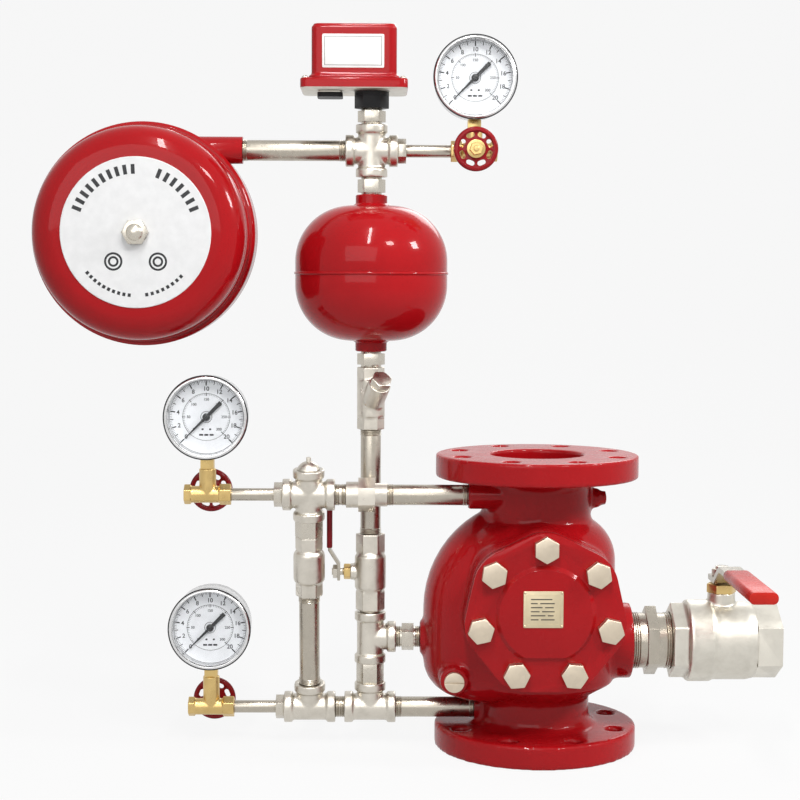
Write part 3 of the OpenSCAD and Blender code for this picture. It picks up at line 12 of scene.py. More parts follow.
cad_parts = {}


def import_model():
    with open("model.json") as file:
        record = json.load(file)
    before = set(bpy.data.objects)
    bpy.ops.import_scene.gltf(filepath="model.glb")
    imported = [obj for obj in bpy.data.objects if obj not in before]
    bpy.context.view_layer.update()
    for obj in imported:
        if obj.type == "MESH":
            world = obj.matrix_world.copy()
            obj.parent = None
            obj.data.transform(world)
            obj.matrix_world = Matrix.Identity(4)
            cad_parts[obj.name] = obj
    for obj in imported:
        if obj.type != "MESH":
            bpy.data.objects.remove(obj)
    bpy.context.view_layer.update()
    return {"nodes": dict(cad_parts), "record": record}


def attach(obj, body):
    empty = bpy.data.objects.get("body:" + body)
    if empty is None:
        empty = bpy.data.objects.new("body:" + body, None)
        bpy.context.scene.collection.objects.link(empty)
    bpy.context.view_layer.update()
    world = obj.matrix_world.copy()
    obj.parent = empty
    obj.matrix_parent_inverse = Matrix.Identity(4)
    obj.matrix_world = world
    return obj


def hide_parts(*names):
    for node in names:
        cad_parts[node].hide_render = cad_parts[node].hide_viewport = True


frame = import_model()
MM = 0.001
body_of = {n: b for b, nodes in frame["record"]["behaviour"]["bodies"].items() for n in nodes}
slot_of = {s["node"]: s["material_slot"] for s in frame["record"]["subparts"]}

# Sizes and places in millimetres, the same as those of the solids, and a dial's scale in degrees
TANK = dict(x=-181, z=431, length=168, d=164, edge=60, neck_l=11.5, neck_d=34, weld_r=1.7, weld_half=2.6)
GONG = dict(x=-424, z=556, lip=-26, depth=50, d=224, edge=28, sheet=3.5, hub_r=8, roll_r=1.7)
GONG_DISC = dict(hole_r=12.2, r=78, t=0.9, sunk=0.2)
GAUGES = {"upper": (-355, -32, 362.5), "lower": (-355, 0, 130), "alarm": (-71, 0, 723)}
DIAL_Y = -11.94
DIAL_R = 40
SCALE_START = 225
SCALE_SWEEP = 270
POINTER_RISE = 2.5
BEZEL_R = 44.5
BEZEL_FRONT = -22.8

# Centre of each hand wheel's hub, and the way it faces along Y
WHEELS = {"upper": (-355, 9, 278.5, 1), "lower": (-355, 41, 40, 1), "alarm": (-71, -41, 646, -1)}

# Pipe lines
PIPE_R = 11
RISER_X = -181
BYPASS_X = -247
LOWER_Z = 40
UPPER_Y = -32
UPPER_Z = 278.5
TOP_Z = 646
PORT_Z = 118
DRAIN_Z = 114.5
TRIM_THREAD = dict(Pitch=1.7, Radius=PIPE_R - 0.1, Height=0.75)
DRAIN_THREAD = dict(Pitch=2.3, Radius=29.9, Height=0.9)

# Plates, label and the switch's small pieces
PLATE = dict(at=(-3, -121, 172), w=41, h=38, t=0.9, corner=1.2, pin_x=18.9, pin_y=17.2, pin_r=1.3)
LABEL = dict(at=(-200.5, -37, 747.5), w=65, h=35, t=0.35, corner=1.5)
SKIRT = dict(at=(-199.5, 0, 709.4), w=113.2, h=90.2, t=9.8, corner=8.6)
SCREWS = dict(at=(-199.5, 0, 719.2), w=103.0, h=79.0, r=3.4, t=2.4)
# A dark slab under the switch's base: painted shadow, not a real part
SWITCH_SHADOW = dict(at=(-225.5, 0, 702.1), w=27, h=31, t=5.2, corner=5.5)

# The photograph's viewpoint: place in millimetres, turns in radians, focal length and width in its pixels
PHOTO_VIEW = dict(at=(-173.1, -1851.8, 513.8), pitch=0.0732, yaw=0.0128, roll=0.0043, focal=1710.7, width=800)
SENSOR_W = 36


# Materials

class Finish:
    """A material with a principled shader and short calls for the nodes that feed it."""

    def __init__(self, name):
        self.material = bpy.data.materials.new(name)
        self.material.use_nodes = True
        self.tree = self.material.node_tree
        self.tree.nodes.clear()
        out = self.tree.nodes.new("ShaderNodeOutputMaterial")
        self.shader = self.tree.nodes.new("ShaderNodeBsdfPrincipled")
        self.tree.links.new(self.shader.outputs[0], out.inputs[0])
        self.place = self.tree.nodes.new("ShaderNodeTexCoord").outputs["Object"]

    def put(self, **values):
        for key, value in values.items():
            self.shader.inputs[key.replace("_", " ")].default_value = value
        return self

    def link(self, source, socket):
        self.tree.links.new(source, self.shader.inputs[socket])

    def stretched(self, scale):
        node = self.tree.nodes.new("ShaderNodeMapping")
        node.inputs["Scale"].default_value = scale
        self.tree.links.new(self.place, node.inputs["Vector"])
        return node.outputs[0]

    def noise(self, scale, detail=3.0, roughness=0.5, place=None):
        node = self.tree.nodes.new("ShaderNodeTexNoise")
        node.inputs["Scale"].default_value = scale
        node.inputs["Detail"].default_value = detail
        node.inputs["Roughness"].default_value = roughness
        self.tree.links.new(place or self.place, node.inputs["Vector"])
        return node.outputs["Fac"]

    def cells(self, scale):
        """Random cells: the colour of each, and the distance from its middle."""
        node = self.tree.nodes.new("ShaderNodeTexVoronoi")
        node.inputs["Scale"].default_value = scale
        self.tree.links.new(self.place, node.inputs["Vector"])
        return node.outputs["Color"], node.outputs["Distance"]

    def ramp(self, source, first, last):
        """A blend from one colour to another, each given with its place on the source's scale."""
        node = self.tree.nodes.new("ShaderNodeValToRGB")
        for element, (at, colour) in zip(node.color_ramp.elements, (first, last)):
            element.position = at
            element.color = (*colour, 1)
        self.tree.links.new(source, node.inputs["Fac"])
        return node.outputs["Color"]

    def levels(self, source, span, to):
        """The source with one span of its values stretched to another, and held at the ends."""
        node = self.tree.nodes.new("ShaderNodeMapRange")
        for socket, value in zip(("From Min", "From Max", "To Min", "To Max"), (*span, *to)):
            node.inputs[socket].default_value = value
        self.tree.links.new(source, node.inputs["Value"])
        return node.outputs["Result"]

    def mix(self, factor, a, b, blend="MIX"):
        node = self.tree.nodes.new("ShaderNodeMix")
        node.data_type = "RGBA"
        node.blend_type = blend
        for socket, value in ((node.inputs[0], factor), (node.inputs[6], a), (node.inputs[7], b)):
            if isinstance(value, bpy.types.NodeSocket):
                self.tree.links.new(value, socket)
            else:
                socket.default_value = value if isinstance(value, float) else (*value, 1)
        return node.outputs[2]

    def product(self, a, b):
        node = self.tree.nodes.new("ShaderNodeMath")
        node.operation = "MULTIPLY"
        self.tree.links.new(a, node.inputs[0])
        self.tree.links.new(b, node.inputs[1])
        return node.outputs[0]

    def edges(self, low, high):
        node = self.tree.nodes.new("ShaderNodeNewGeometry")
        return self.levels(node.outputs["Pointiness"], (low, high), (0.0, 1.0))

    def bump(self, height, strength, distance):
        node = self.tree.nodes.new("ShaderNodeBump")
        node.inputs["Strength"].default_value = strength
        node.inputs["Distance"].default_value = distance
        self.tree.links.new(height, node.inputs["Height"])
        previous = self.shader.inputs["Normal"].links
        if previous:
            self.tree.links.new(previous[0].from_socket, node.inputs["Normal"])
        self.link(node.outputs[0], "Normal")
        return self


def shaded(colour, share, lift=0.0):
    """A colour made darker or brighter by a share, and never past white."""
    return tuple(min(1.0, share * c + lift) for c in colour)


def enamel(name, colour, shade, rough=(0.2, 0.34), waviness=0.0, worn=False):
    """Glossy paint: a slow drift between two tones, orange peel and, on castings, the ripple of the sand."""
    f = Finish(name)
    f.put(Metallic=0.0, Coat_Weight=0.28, Coat_Roughness=0.035, IOR=1.5, Specular_IOR_Level=0.05)
    tone = f.ramp(f.noise(7, detail=4, roughness=0.6), (0.3, shade), (0.7, colour))
    speck = f.levels(f.noise(420, detail=2), (0.62, 0.78), (0.0, 0.35))
    tone = f.mix(speck, tone, shaded(shade, 0.6))
    if worn:
        patches = f.levels(f.noise(55, detail=5, roughness=0.7), (0.5, 0.62), (0.0, 0.55))
        rubbed = f.product(f.edges(0.53, 0.6), patches)
        tone = f.mix(rubbed, tone, shaded(colour, 1.5, 0.06))
    f.link(tone, "Base Color")
    f.link(f.levels(f.noise(24, detail=5, roughness=0.65), (0.3, 0.7), rough), "Roughness")
    if waviness:
        f.bump(f.noise(95, detail=4, roughness=0.6), strength=waviness, distance=0.0012)
    return f.bump(f.noise(700, detail=2), strength=0.04, distance=0.0003).material


def galvanised(name, colour, rough=(0.24, 0.36)):
    """Zinc spangle, a fine grain and a few dull patches."""
    f = Finish(name).put(Metallic=1.0)
    spangle, _ = f.cells(190)
    flakes = f.levels(spangle, (0.0, 1.0), (0.95, 1.03))
    dull = f.levels(f.noise(38, detail=5, roughness=0.7), (0.45, 0.75), (0.0, 0.16))
    tone = f.mix(dull, colour, shaded(colour, 0.72))
    f.link(f.mix(1.0, tone, flakes, "MULTIPLY"), "Base Color")
    f.link(f.levels(f.noise(150, detail=4, roughness=0.6), (0.3, 0.7), rough), "Roughness")
    return f.bump(f.noise(900), strength=0.05, distance=0.0003).material


def cast_metal(name, colour, tarnish, grain, rough):
    """Plated casting: sand grain, darker in its hollows, brighter on its rubbed edges."""
    f = Finish(name).put(Metallic=1.0)
    patch = f.levels(f.noise(46, detail=5, roughness=0.65), (0.42, 0.72), (0.0, 0.55))
    tone = f.mix(patch, colour, tarnish)
    tone = f.mix(f.edges(0.49, 0.42), tone, shaded(tarnish, 0.55))
    tone = f.mix(f.edges(0.52, 0.6), tone, shaded(colour, 1.12))
    f.link(tone, "Base Color")
    f.link(f.levels(f.noise(120, detail=4, roughness=0.6), (0.3, 0.7), rough), "Roughness")
    return f.bump(f.noise(620, detail=4, roughness=0.6), strength=grain, distance=0.0005).material


def turned_metal(name, colour, rough):
    """Machined metal: fine tool lines and light handling marks."""
    f = Finish(name).put(Metallic=1.0)
    smear = f.levels(f.noise(60, detail=5, roughness=0.7), (0.45, 0.8), (0.0, 0.35))
    f.link(f.mix(smear, colour, shaded(colour, 0.7)), "Base Color")
    f.link(f.levels(f.noise(210), (0.3, 0.7), rough), "Roughness")
    tool_lines = f.noise(1.0, detail=2, place=f.stretched((2400, 2400, 160)))
    return f.bump(tool_lines, strength=0.05, distance=0.0002).material


def moulded(name, colour, rough=(0.35, 0.5), grain=0.1, cell_scale=900):
    """Moulded or dipped plastic and rubber with a fine leathery grain."""
    f = Finish(name).put(Metallic=0.0, IOR=1.47, Specular_IOR_Level=0.2)
    f.link(f.ramp(f.noise(30, detail=4), (0.3, shaded(colour, 0.8)), (0.75, colour)), "Base Color")
    f.link(f.levels(f.noise(80), (0.3, 0.7), rough), "Roughness")
    _, leather = f.cells(cell_scale)
    return f.bump(leather, strength=grain, distance=0.0004).material


def printed(name, colour, rough):
    """Flat ink or enamel with a slight mottle."""
    f = Finish(name).put(Metallic=0.0, IOR=1.45)
    f.link(f.ramp(f.noise(90, detail=4), (0.35, shaded(colour, 0.93)), (0.7, colour)), "Base Color")
    f.link(f.levels(f.noise(200, detail=2), (0.3, 0.7), (rough - 0.06, rough + 0.06)), "Roughness")
    return f.bump(f.noise(1400, detail=2), strength=0.03, distance=0.0002).material


def window_glass(name):
    """Thin flat gauge glass: clear, with a faint smear in its gloss."""
    f = Finish(name).put(Metallic=0.0, IOR=1.45, Specular_IOR_Level=1.0, Alpha=0.035)
    f.put(Base_Color=(0.4, 0.42, 0.43, 1))
    f.link(f.levels(f.noise(35), (0.3, 0.7), (0.01, 0.06)), "Roughness")
    return f.material


RED = (0.39, 0.0055, 0.0085)
RED_SHADE = (0.32, 0.004, 0.0065)
cast_red = enamel("cast_iron_red_enamel", RED, RED_SHADE, waviness=0.045, worn=True)
sheet_red = enamel("sheet_metal_red_enamel", RED, RED_SHADE, rough=(0.14, 0.24))
wheel_red = enamel("handwheel_crimson_enamel", (0.30, 0.006, 0.010), (0.20, 0.004, 0.007), waviness=0.1)
# Dark enamel for the ring that paints the dark reflection on each gauge bezel's polished front edge
rim_reflection_dark = enamel("gauge_rim_black_enamel", (0.022, 0.022, 0.024), (0.014, 0.014, 0.015), (0.18, 0.3))
dark_sleeve = moulded("dipped_dark_red_sleeve", (0.24, 0.008, 0.014), (0.24, 0.38), 0.06, 500)
sleeve_red = moulded("dipped_red_sleeve", (0.56, 0.022, 0.014), (0.22, 0.36), 0.06, 500)
black_moulded = moulded("black_collar_plastic", (0.02, 0.02, 0.022))
gasket_rubber = moulded("gasket_rubber", (0.03, 0.03, 0.03), (0.6, 0.75), 0.2)
seat_white = moulded("ball_seat_white", (0.84, 0.84, 0.81), (0.4, 0.55), 0.04)
nylon_cream = moulded("nylon_impeller", (0.74, 0.7, 0.6), (0.4, 0.55), 0.05)
zinc_pipe = galvanised("galvanised_pipe", (0.46, 0.42, 0.355))
zinc_bolt = galvanised("zinc_plated_bolt", (0.62, 0.535, 0.42), (0.34, 0.5))
nickel_cast = cast_metal("nickel_plated_fitting", (0.63, 0.59, 0.52), (0.42, 0.39, 0.335), 0.16, (0.26, 0.44))
bright_cast = cast_metal("sandblasted_drain_valve", (0.66, 0.63, 0.56), (0.48, 0.45, 0.39), 0.1, (0.34, 0.5))
brass_cast = cast_metal("brass_gauge_valve", (0.64, 0.46, 0.19), (0.46, 0.31, 0.12), 0.16, (0.24, 0.4))
nickel_turned = turned_metal("nickel_plated_turning", (0.57, 0.53, 0.46), (0.2, 0.36))
bronze_turned = turned_metal("bronze_seat_and_clapper", (0.58, 0.38, 0.18), (0.22, 0.4))
steel_case = turned_metal("stainless_gauge_case", (0.70, 0.70, 0.70), (0.16, 0.28))
mirror_ball = turned_metal("polished_ball", (0.84, 0.84, 0.85), (0.05, 0.12))
plate_brass = turned_metal("rating_plate_brass", (0.62, 0.53, 0.36), (0.36, 0.5))
dial_white = printed("dial_white_enamel", (0.94, 0.96, 0.99), 0.45)
disc_white = printed("gong_disc_white_enamel", (0.74, 0.74, 0.74), 0.34)
label_white = printed("blank_label_white", (0.84, 0.83, 0.81), 0.42)
ink_black = printed("dial_ink_black", (0.018, 0.018, 0.02), 0.5)
pointer_black = printed("pointer_black_enamel", (0.012, 0.012, 0.013), 0.35)
gauge_glass = window_glass("gauge_window_glass")

NODE_FINISH = {
    "red_paint": cast_red, "red_aluminium": sheet_red, "wheel_red": wheel_red, "red_sleeve": sleeve_red,
    "zinc_pipe": zinc_pipe, "bolt_zinc": zinc_bolt, "nickel_fitting": nickel_turned, "brass": brass_cast,
    "bronze": bronze_turned, "polished_ball": mirror_ball, "white_seat": seat_white, "nylon": nylon_cream,
    "gasket": gasket_rubber, "black_collar": black_moulded, "gauge_steel": steel_case,
    "dial_white": dial_white, "clear_glass": gauge_glass, "pointer_black": pointer_black,
}


# Mesh helpers

def add_piece(name, mesh, material, body, smooth):
    """A finished mesh as an object at the origin, riding on its body, smooth below an angle in degrees."""
    mesh.materials.clear()
    mesh.materials.append(material)
    mesh.polygons.foreach_set("use_smooth", [True] * len(mesh.polygons))
    mesh.set_sharp_from_angle(angle=math.radians(smooth))
    piece = bpy.data.objects.new(name, mesh)
    bpy.context.scene.collection.objects.link(piece)
    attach(piece, body)
    return piece


def scratch_object(data):
    obj = bpy.data.objects.new("scratch", data)
    bpy.context.scene.collection.objects.link(obj)
    return obj


def evaluated_mesh(obj):
    """The mesh that the object's modifiers give, with the object taken away again."""
    graph = bpy.context.evaluated_depsgraph_get()
    mesh = bpy.data.meshes.new_from_object(obj.evaluated_get(graph))
    bpy.data.objects.remove(obj)
    return mesh


def finished(name, bm):
    """The plain mesh of a bmesh, which is let go."""
    mesh = bpy.data.meshes.new(name)
    bm.to_mesh(mesh)
    bm.free()
    return mesh


def merged_copy(node):
    """A copy of a solid's mesh with its loose triangles sewn together and its flat faces made whole."""
    sew_distance = 2e-6
    flat_angle = math.radians(0.6)
    mesh = frame["nodes"][node].data.copy()
    bm = bmesh.new()
    bm.from_mesh(mesh)
    bmesh.ops.remove_doubles(bm, verts=bm.verts, dist=sew_distance)
    bmesh.ops.dissolve_limit(bm, angle_limit=flat_angle, verts=bm.verts, edges=bm.edges)
    bm.to_mesh(mesh)
    bm.free()
    if "custom_normal" in mesh.attributes:
        mesh.attributes.remove(mesh.attributes["custom_normal"])
    return mesh


def soften(node, width, material):
    """Stands for a solid with its sharp edges rounded off."""
    sharp_angle = math.radians(32)
    obj = scratch_object(merged_copy(node))
    bevel = obj.modifiers.new("edge", "BEVEL")
    bevel.width = width * MM
    bevel.segments = 2
    bevel.limit_method = "ANGLE"
    bevel.angle_limit = sharp_angle
    bevel.use_clamp_overlap = True
    bevel.miter_outer = "MITER_ARC"
    bevel.harden_normals = False
    mesh = evaluated_mesh(obj)
    piece = add_piece(node + "_edged", mesh, material, body_of[node], 40)
    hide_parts(node)


def mesh_rows(items, name, width, kind=float):
    """One property of a mesh's vertices, normals or edges, as rows of numbers."""
    values = np.empty(len(items) * width, kind)
    items.foreach_get(name, values)
    return values.reshape(-1, width)


def neighbour_mean(rows, edges, count):
    """The mean of each vertex's neighbours, for every column."""
    total = np.zeros_like(rows)
    for column in range(rows.shape[1]):
        total[:, column] = np.bincount(edges[:, 0], rows[edges[:, 1], column], len(rows))
        total[:, column] += np.bincount(edges[:, 1], rows[edges[:, 0], column], len(rows))
    return total / count[:, None]


def cast_skin(node, voxel, fillet, material, keep):
    """Stands for a cast solid: a fine even skin whose inner corners are filled as a moulder's fillets are."""
    full_hollow = 0.12
    spread_rounds, spread_share = 3, 0.92
    obj = scratch_object(merged_copy(node))
    remesh = obj.modifiers.new("skin", "REMESH")
    remesh.mode = "VOXEL"
    remesh.voxel_size = voxel * MM
    remesh.adaptivity = 0
    mesh = evaluated_mesh(obj)
    co = mesh_rows(mesh.vertices, "co", 3)
    normals = mesh_rows(mesh.vertex_normals, "vector", 3)
    edges = mesh_rows(mesh.edges, "vertices", 2, int)
    count = np.maximum(np.bincount(edges.ravel(), minlength=len(co)), 1).astype(float)

    def relax(rounds, strength):
        """Moves each vertex some way to the middle of its neighbours."""
        for _ in range(rounds):
            co[:] += strength * (neighbour_mean(co, edges, count) - co)

    relax(2, 0.5)
    hollow = np.einsum("ij,ij->i", neighbour_mean(co, edges, count) - co, normals) / (voxel * MM)
    weight = np.clip(hollow / full_hollow, 0, 1)[:, None]
    for _ in range(spread_rounds):
        weight = np.maximum(weight, spread_share * neighbour_mean(weight, edges, count))
    relax(fillet, 0.6 * weight)
    relax(2, 0.35)
    mesh.vertices.foreach_set("co", co.ravel())
    mesh.update()
    if keep:
        obj = scratch_object(mesh)
        thin = obj.modifiers.new("thin", "DECIMATE")
        thin.ratio = keep
        mesh = evaluated_mesh(obj)
    piece = add_piece(node + "_cast", mesh, material, body_of[node], 70)
    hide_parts(node)


def along(origin, axis, spin=0.0):
    """Places a shape drawn about +Z, in millimetres, at a point and along an axis."""
    turn = Vector((0, 0, 1)).rotation_difference(Vector(axis)).to_matrix().to_4x4()
    return Matrix.Scale(MM, 4) @ Matrix.Translation(origin) @ turn @ Matrix.Rotation(spin, 4, "Z")


def lying(at):
    """Places a shape drawn in XY, in millimetres, level at a point."""
    return Matrix.Scale(MM, 4) @ Matrix.Translation(at)


def upright(at):
    """Places a shape drawn in XY, in millimetres, at a point so that it faces the front."""
    return lying(at) @ Matrix.Rotation(math.pi / 2, 4, "X")


def arc(cx, cz, r, start, end, n):
    steps = [math.radians(start + (end - start) * i / n) for i in range(n + 1)]
    return [(cx + r * math.cos(a), cz + r * math.sin(a)) for a in steps]


def lathe_mesh(name, profile, place, segments, closed=False):
    """Spins a list of radius and height about +Z.

    A closed list makes a ring, an open one ends on the axis.
    """
    bm = bmesh.new()
    angles = [2 * math.pi * i / segments for i in range(segments)]
    rings = []
    for radius, height in profile:
        if radius < 1e-6:
            rings.append([bm.verts.new((0, 0, height))])
        else:
            rings.append([bm.verts.new((radius * math.cos(a), radius * math.sin(a), height)) for a in angles])
    following = rings[1:] + rings[:1] if closed else rings[1:]
    for low, high in zip(rings, following):
        for i in range(segments):
            j = (i + 1) % segments
            corners = [low[i % len(low)], low[j % len(low)], high[j % len(high)], high[i % len(high)]]
            face = list(dict.fromkeys(corners))
            if len(face) > 2:
                bm.faces.new(face)
    bm.transform(place)
    bmesh.ops.recalc_face_normals(bm, faces=bm.faces)
    return finished(name, bm)


def flat_ring(radius, width, place, low, high, segments):
    """A thin printed ring between two heights."""
    section = [(radius, low), (radius, high), (radius - width, high), (radius - width, low)]
    return lathe_mesh("flat_ring", section, place, segments, closed=True)


def joined(name, meshes):
    """Several meshes as one."""
    bm = bmesh.new()
    for mesh in meshes:
        bm.from_mesh(mesh)
    return finished(name, bm)


def rounded_slab(name, w, h, t, corner, place, edge=0.25, n=6):
    """A flat plate about the origin in X and Y, standing t high, with round corners and a softened rim."""
    outline = []
    for cx, cy, a in ((1, 1, 0), (-1, 1, 90), (-1, -1, 180), (1, -1, 270)):
        outline += [
            (cx * (w / 2 - corner), cy * (h / 2 - corner), math.radians(a + 90 * i / n)) for i in range(n + 1)
        ]
    bm = bmesh.new()
    rings = []
    for inset, height in ((0, 0), (0, t - edge), (0.3 * edge, t - 0.3 * edge), (edge, t)):
        rings.append([
            bm.verts.new((x + (corner - inset) * math.cos(a), y + (corner - inset) * math.sin(a), height))
            for x, y, a in outline
        ])
    count = len(outline)
    for low, high in zip(rings, rings[1:]):
        for i in range(count):
            bm.faces.new((low[i], low[(i + 1) % count], high[(i + 1) % count], high[i]))
    bm.faces.new(rings[-1])
    bm.faces.new(list(reversed(rings[0])))
    bm.transform(place)
    bmesh.ops.recalc_face_normals(bm, faces=bm.faces)
    return finished(name, bm)


def thin_bars(bars, place, t, corner, lift, edge):
    """Printed or pressed bars on a plate, each given by its width, its height and its middle."""
    meshes = []
    for w, h, x, y in bars:
        meshes.append(rounded_slab("bar", w, h, t, corner, place @ Matrix.Translation((x, y, lift)), edge, 2))
    return meshes


# Node trees for what repeats

class PieceTree:
    """A geometry tree with named number inputs, a material input and short calls for its nodes."""

    def __init__(self, name, **sizes):
        self.tree = bpy.data.node_groups.new(name, "GeometryNodeTree")
        for label, value in sizes.items():
            kind = "NodeSocketInt" if isinstance(value, int) else "NodeSocketFloat"
            self.tree.interface.new_socket(label, in_out="INPUT", socket_type=kind).default_value = value
        self.tree.interface.new_socket("Material", in_out="INPUT", socket_type="NodeSocketMaterial")
        self.tree.interface.new_socket("Geometry", in_out="OUTPUT", socket_type="NodeSocketGeometry")
        self.given = self.tree.nodes.new("NodeGroupInput").outputs
        self.output = self.tree.nodes.new("NodeGroupOutput")

    def node(self, kind, sources=None, **settings):
        """The first output of a new node, whose sockets take outputs of other nodes or plain values."""
        node = self.tree.nodes.new(kind)
        for key, value in settings.items():
            setattr(node, key, value)
        for socket, source in (sources or {}).items():
            if isinstance(source, bpy.types.NodeSocket):
                self.tree.links.new(source, node.inputs[socket])
            else:
                node.inputs[socket].default_value = source
        return node.outputs[0]

    def number(self, operation, *values):
        return self.node("ShaderNodeMath", dict(enumerate(values)), operation=operation)

    def vector(self, **axes):
        return self.node("ShaderNodeCombineXYZ", axes)

    def moved(self, geometry, **how):
        return self.node("GeometryNodeTransform", {"Geometry": geometry, **how})

    def repeated(self, points, instance, **how):
        """The finished tree: a shape on every point, made real, in the given material."""
        spread = self.node("GeometryNodeInstanceOnPoints", {"Points": points, "Instance": instance, **how})
        real = self.node("GeometryNodeRealizeInstances", {"Geometry": spread})
        dressed = self.node("GeometryNodeSetMaterial", {"Geometry": real, "Material": self.given["Material"]})
        self.tree.links.new(dressed, self.output.inputs[0])
        return self.tree


def dial_marks_tree():
    """Bars spread along an arc in the XY plane, each pointing away from the centre."""
    t = PieceTree(
        "dial_marks", Count=11, Radius=30.0, Start=0.0, Sweep=1.0, Length=3.0, Width=0.5, Height=0.1)
    given = t.given
    line = t.node("GeometryNodeMeshLine", {"Count": given["Count"]})
    last = t.number("SUBTRACT", given["Count"], 1.0)
    share = t.number("DIVIDE", t.node("GeometryNodeInputIndex"), last)
    angle = t.number("MULTIPLY_ADD", share, given["Sweep"], given["Start"])
    arm = t.vector(X=given["Radius"])
    spot = t.node("ShaderNodeVectorRotate", {"Vector": arm, "Angle": angle}, rotation_type="Z_AXIS")
    placed = t.node("GeometryNodeSetPosition", {"Geometry": line, "Position": spot})
    size = t.vector(X=given["Length"], Y=given["Width"], Z=given["Height"])
    bar = t.node("GeometryNodeMeshCube", {"Size": size})
    return t.repeated(placed, bar, Rotation=t.vector(Z=angle))


def thread_tree():
    """Thread ridges: rings of a four-cornered section in a row along +Z."""
    t = PieceTree("thread_ridges", Count=3, Pitch=1.8, Radius=11.0, Height=0.6)
    given = t.given
    line = t.node("GeometryNodeMeshLine", {"Count": given["Count"], "Offset": t.vector(Z=given["Pitch"])})
    ring = t.node("GeometryNodeCurvePrimitiveCircle", {"Resolution": 48, "Radius": given["Radius"]})
    section = t.node("GeometryNodeCurvePrimitiveCircle", {"Resolution": 4, "Radius": given["Height"]})
    ridge = t.node("GeometryNodeCurveToMesh", {"Curve": ring, "Profile Curve": section})
    return t.repeated(line, ridge)


def screw_tree():
    """Slotted pan-head screws on the corners of a rectangle in the XY plane."""
    slot_w = 0.9
    slot_l_per_radius = 2.4
    t = PieceTree("corner_screws", Width=90.0, Depth=70.0, Radius=4.0, Height=2.5)
    given = t.given
    corners = t.node("GeometryNodeMeshGrid", {
        "Size X": given["Width"], "Size Y": given["Depth"], "Vertices X": 2, "Vertices Y": 2})
    ball = t.node("GeometryNodeMeshUVSphere", {"Segments": 32, "Rings": 16, "Radius": given["Radius"]})
    flat = t.number("DIVIDE", given["Height"], given["Radius"])
    head = t.moved(ball, Scale=t.vector(X=1.0, Y=1.0, Z=flat))
    slot_l = t.number("MULTIPLY", given["Radius"], slot_l_per_radius)
    bar = t.node("GeometryNodeMeshCube", {"Size": t.vector(X=slot_l, Y=slot_w, Z=given["Height"])})
    raised = t.moved(bar, Translation=t.vector(Z=given["Height"]))
    slotted = t.node("GeometryNodeMeshBoolean", {"Mesh 1": head, "Mesh 2": raised}, operation="DIFFERENCE")
    return t.repeated(corners, slotted)


def grown(tree, material, place, **values):
    """The plain mesh that a tree gives with these inputs, set in its place."""
    obj = scratch_object(bpy.data.meshes.new("seed"))
    modifier = obj.modifiers.new("grow", "NODES")
    modifier.node_group = tree
    for item in tree.interface.items_tree:
        if item.in_out == "INPUT" and item.name == "Material":
            modifier[item.identifier] = material
        elif item.in_out == "INPUT" and item.name in values:
            modifier[item.identifier] = values[item.name]
    mesh = evaluated_mesh(obj)
    mesh.transform(place)
    return mesh


def number_mesh(text, size, at, place):
    """A plain number as a flat mesh, centred on a point of the dial."""
    curve = bpy.data.curves.new("number", "FONT")
    curve.body = text
    curve.size = size
    curve.extrude = 0.04
    curve.offset = 0.018 * size
    curve.align_x = "CENTER"
    curve.align_y = "CENTER"
    mesh = evaluated_mesh(scratch_object(curve))
    mesh.transform(place @ Matrix.Translation((*at, 0)))
    return mesh


dial_marks = dial_marks_tree()


# Castings: node, voxel in millimetres, rounds of filling, finish, share of the faces kept

for node, voxel, fillet, material, keep in (
    ("valve_body", 2.1, 26, cast_red, 0.6),
    ("pipe_fittings", 1.0, 8, nickel_cast, None),
    ("check_valve_body", 0.8, 6, nickel_cast, None),
    ("strainer_body", 0.8, 8, nickel_cast, None),
    ("alarm_valve_body", 0.8, 6, nickel_cast, None),
    ("gauge_valve_bodies", 0.6, 5, brass_cast, None),
    ("drain_valve_body", 1.2, 5, bright_cast, None),
    ("switch_cover", 1.0, 10, sheet_red, 0.5),
):
    cast_skin(node, voxel, fillet, material, keep)


# Turned, cut and pressed pieces: node, width of the softened edge in millimetres, finish

for node, width, material in (
    ("access_cover", 2.6, cast_red), ("cover_bolts", 0.5, zinc_bolt), ("hinge_pin", 0.6, zinc_bolt),
    ("drain_nipple", 0.6, zinc_pipe), ("drain_valve_end", 1.0, bright_cast), ("drain_lever", 0.6, zinc_pipe),
    ("drain_grip", 0.8, sleeve_red), ("drain_stem", 0.3, nickel_turned), ("alarm_lever", 0.3, zinc_pipe),
    ("alarm_grip", 0.5, dark_sleeve), ("alarm_stem", 0.2, nickel_turned), ("line_union", 0.5, nickel_cast),
    ("dome_plug", 0.4, nickel_cast), ("gland_nuts", 0.3, brass_cast), ("trim_pipes", 0.4, zinc_pipe),
    ("gauge_tubes", 0.3, zinc_pipe), ("hex_nipples", 0.5, nickel_turned), ("strainer_cap", 0.4, nickel_cast),
    ("motor_housing", 1.0, sheet_red), ("motor_back_cover", 1.0, sheet_red),
    ("gong_stud", 0.3, nickel_turned), ("gong_nut", 0.4, nickel_turned),
    ("switch_collar", 0.5, black_moulded), ("switch_base", 1.2, bright_cast),
    ("gauge_cases", 1.0, steel_case), ("gauge_bezels", 0.5, steel_case), ("gauge_sockets", 0.4, brass_cast),
    ("handwheel_upper", 0.5, wheel_red), ("handwheel_lower", 0.5, wheel_red),
    ("handwheel_alarm", 0.5, wheel_red), ("striker", 0.4, nickel_turned),
):
    soften(node, width, material)

for name, node in frame["nodes"].items():
    node.data.materials.clear()
    node.data.materials.append(NODE_FINISH[slot_of[name]])


# Spun sheet metal

